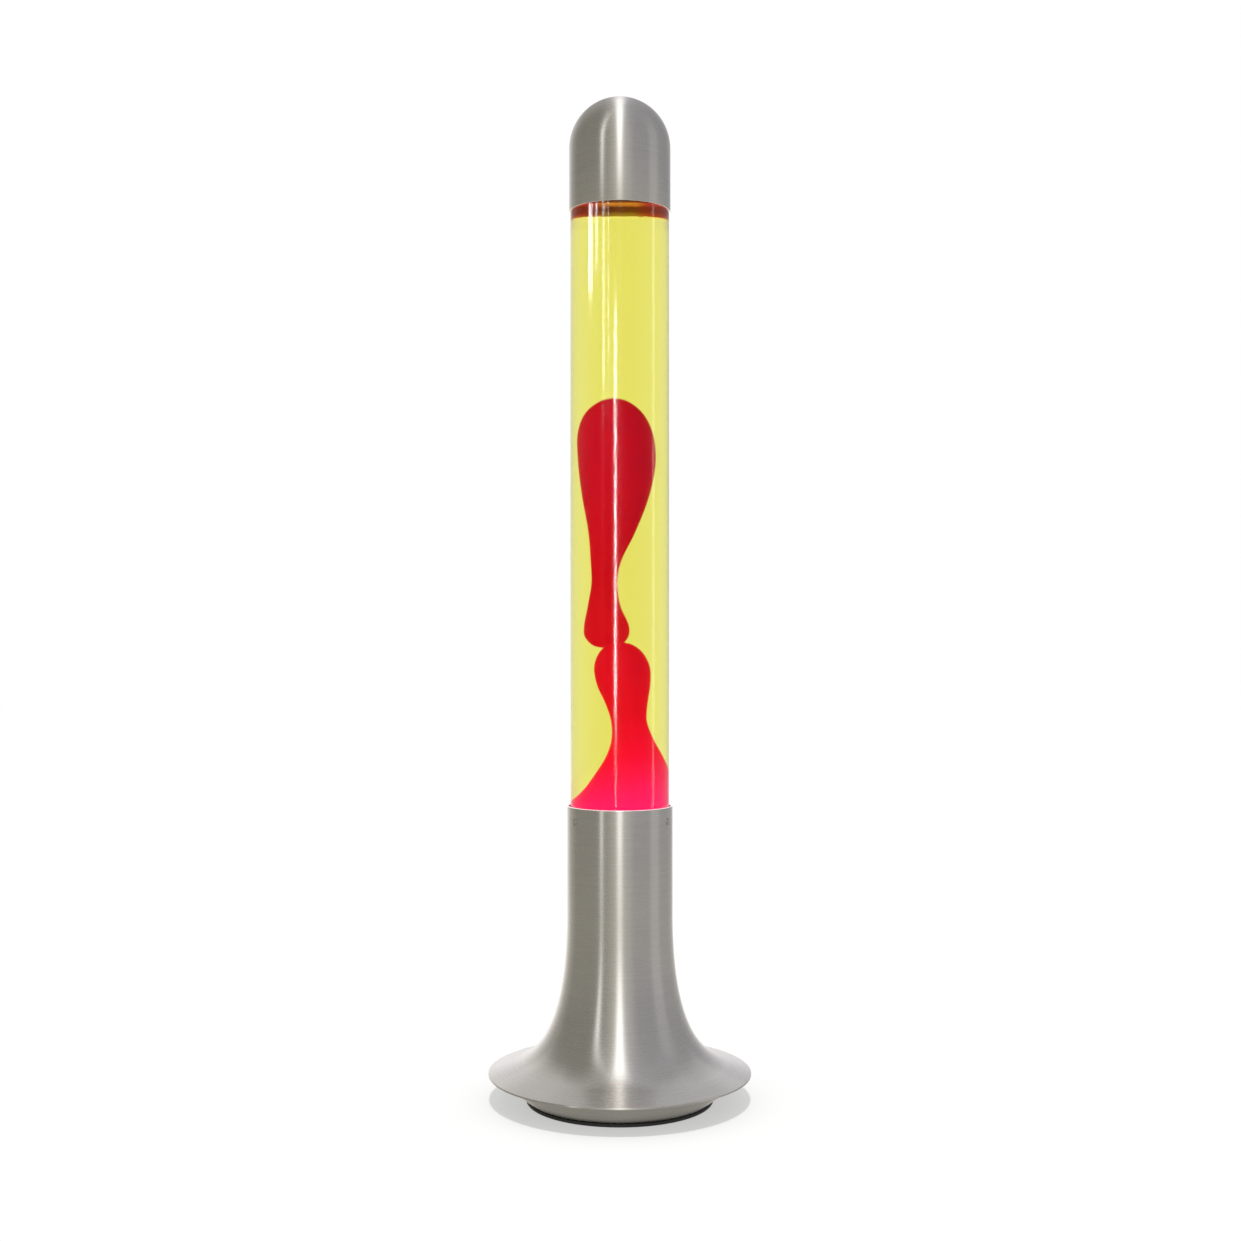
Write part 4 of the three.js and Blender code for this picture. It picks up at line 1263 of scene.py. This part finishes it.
# Each point is height above the base's mouth in millimetres, radius and lean, as shares of the bore.
WAX_COLUMN = (
    (-8, 1, 0), (0, 0.91, 0.07), (13, 0.76, 0.18), (25, 0.63, 0.23), (38, 0.48, 0.25), (51, 0.36, 0.22),
    (65, 0.31, 0.16), (78, 0.37, 0.12), (92, 0.47, 0.07), (106, 0.49, 0.04), (117, 0.37, 0.02),
    (122.5, 0.2, 0.01), (124.5, 0, 0.01),
)
WAX_BLOB = (
    (119.5, 0, -0.2), (121.5, 0.2, -0.2), (128, 0.33, -0.2), (136, 0.345, -0.2), (152, 0.25, -0.24),
    (169, 0.2, -0.24), (185, 0.24, -0.22), (207, 0.38, -0.13), (234, 0.55, -0.07), (262, 0.64, -0.05),
    (284, 0.61, -0.08), (298, 0.46, -0.1), (306, 0.22, -0.1), (308.4, 0, -0.1),
)
WAX_DEPTH = 8


def wax_stations(shape, y_of, steps=8):
    """Sections of wax, denser where its ends round off."""
    fill = BORE - FIT
    points = [(radius * fill, lean * fill, MOUTH + height * MM) for height, radius, lean in shape]
    return [(p.z, max(p.x, 0), p.y, y_of((p.z - MOUTH) / MM) * MM) for p in smooth_through(points, steps)]


def wax():
    """The pool and its column, and the blob. In depth they lean apart from each other by up to 16 mm."""
    material = lit_wax(MOUTH - 10 * MM, top("wax_blob"))
    floor_z, soft = BOTTLE_FLOOR + FIT, 2.2 * MM
    heel = arc((BORE - 0.15 * MM - soft, floor_z + soft), soft, soft, -90, 0, 6)
    pool = [(floor_z, 0, 0, 0)] + [(z, r, 0, 0) for r, z in heel]
    column = wax_stations(WAX_COLUMN, lambda height: -WAX_DEPTH * smoothstep(height, 15, 90))
    piece(loft("wax_column_molten", pool + column), "bottle", "wax", material, "wax_column")
    blob = wax_stations(WAX_BLOB, lambda height: WAX_DEPTH * (1 - smoothstep(height, 150, 230)))
    piece(loft("wax_blob_molten", blob), "blob", "wax", material, "wax_blob")


def wire_coil():
    """A wire wound into a coil, and the coil bent into a ring."""
    low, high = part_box("wire_coil")
    thick = (high.z - low.z) / 2
    radius, winding = high.y - thick, thick - 0.5 * MM
    turns, steps = 46, 12
    points = []
    for i in range(turns * steps):
        along, round_wire = 2 * pi * i / (turns * steps), 2 * pi * i / steps
        out = radius + winding * cos(round_wire)
        z = low.z + thick + winding * sin(round_wire)
        points.append((out * cos(along), out * sin(along), z))
    obj = wire("wire_coil_wound", points, 0.45 * MM, closed=True)
    piece(obj, "bottle", "zinc_steel", STEEL, "wire_coil")


def closure():
    """A crown closure, with its skirt crimped into flutes, and its liner."""
    outer, (low, high) = reach("bottle_closure"), span("bottle_closure")
    sunk = high - 0.4 * MM
    path = rounded([
        (outer + 0.3 * MM, low, 0), (outer - 0.6 * MM, low + 4.5 * MM, 2 * MM),
        (outer - 1.2 * MM, high - 0.2 * MM, 1.8 * MM), (9 * MM, high, MM),
        (8 * MM, sunk, MM), (0, sunk, 0),
    ])

    def flutes(angle, r, z):
        share = 1 - smoothstep(z, low, high - 2.2 * MM)
        return r + 0.45 * MM * share * cos(21 * angle), z

    obj = turned("bottle_closure_crimped", sheet(path, 0.5 * MM), 336, shape=flutes)
    piece(obj, "bottle", "zinc_steel", STEEL, "bottle_closure")
    outer, (low, high) = reach("closure_liner"), span("closure_liner")
    ledge = low + 0.3 * MM
    outline = rounded([
        (0, low, 0), (outer - 3 * MM, low, 0.4 * MM), (outer - 2.6 * MM, ledge, 0.3 * MM),
        (outer, ledge, 0.2 * MM), (outer, high, 0.2 * MM), (0, high, 0),
    ], 3)
    piece(turned("closure_liner_cut", outline, 96), "bottle", "liner", LINER, "closure_liner")


streaks(bottle())
liquid()
wax()
wire_coil()
closure()

# ---------------- cap


def dome_cap():
    roll, edge = 0.25 * MM, 0.15 * MM
    dome = [(CAP, CAP_EDGE + roll)] + arc((0, DOME_Z), CAP, CAP, 0, 90, 40)
    outside = [(CAP - edge, CAP_EDGE)] + dome
    inside = [(CAP - CAP_WALL + edge, CAP_EDGE)] + offset(dome, CAP_WALL)
    obj = turned("dome_cap_spun", outside + inside[::-1])
    piece(obj, "cap", "spun_aluminium", [ALUMINIUM, CAP_LINING], "dome_cap")
    # The faces inside the cap take the lining, with its painted glow and painted reflection.
    middle = Vector((0, 0, DOME_Z))
    for polygon in obj.data.polygons:
        centre = polygon.center
        in_wall = centre.z < DOME_Z and centre.xy.length < CAP - 0.1 * MM
        in_dome = centre.z > DOME_Z and (centre - middle).dot(polygon.normal) < 0
        if in_wall or in_dome:
            polygon.material_index = 1


def cap_pad():
    inner, outer = 28 * MM, reach("cap_pad")
    low, high = span("cap_pad")
    middle, soft = (low + high) / 2, 1.2 * MM
    corners = [(inner, middle, 0), (inner, low, soft), (outer, low, soft), (outer, high, soft)]
    corners += [(inner, high, soft), (inner, middle + 0.01 * MM, 0)]
    piece(turned("cap_pad_felt", rounded(corners)[:-1]), "cap", "pad_felt", FELT, "cap_pad")


dome_cap()
cap_pad()
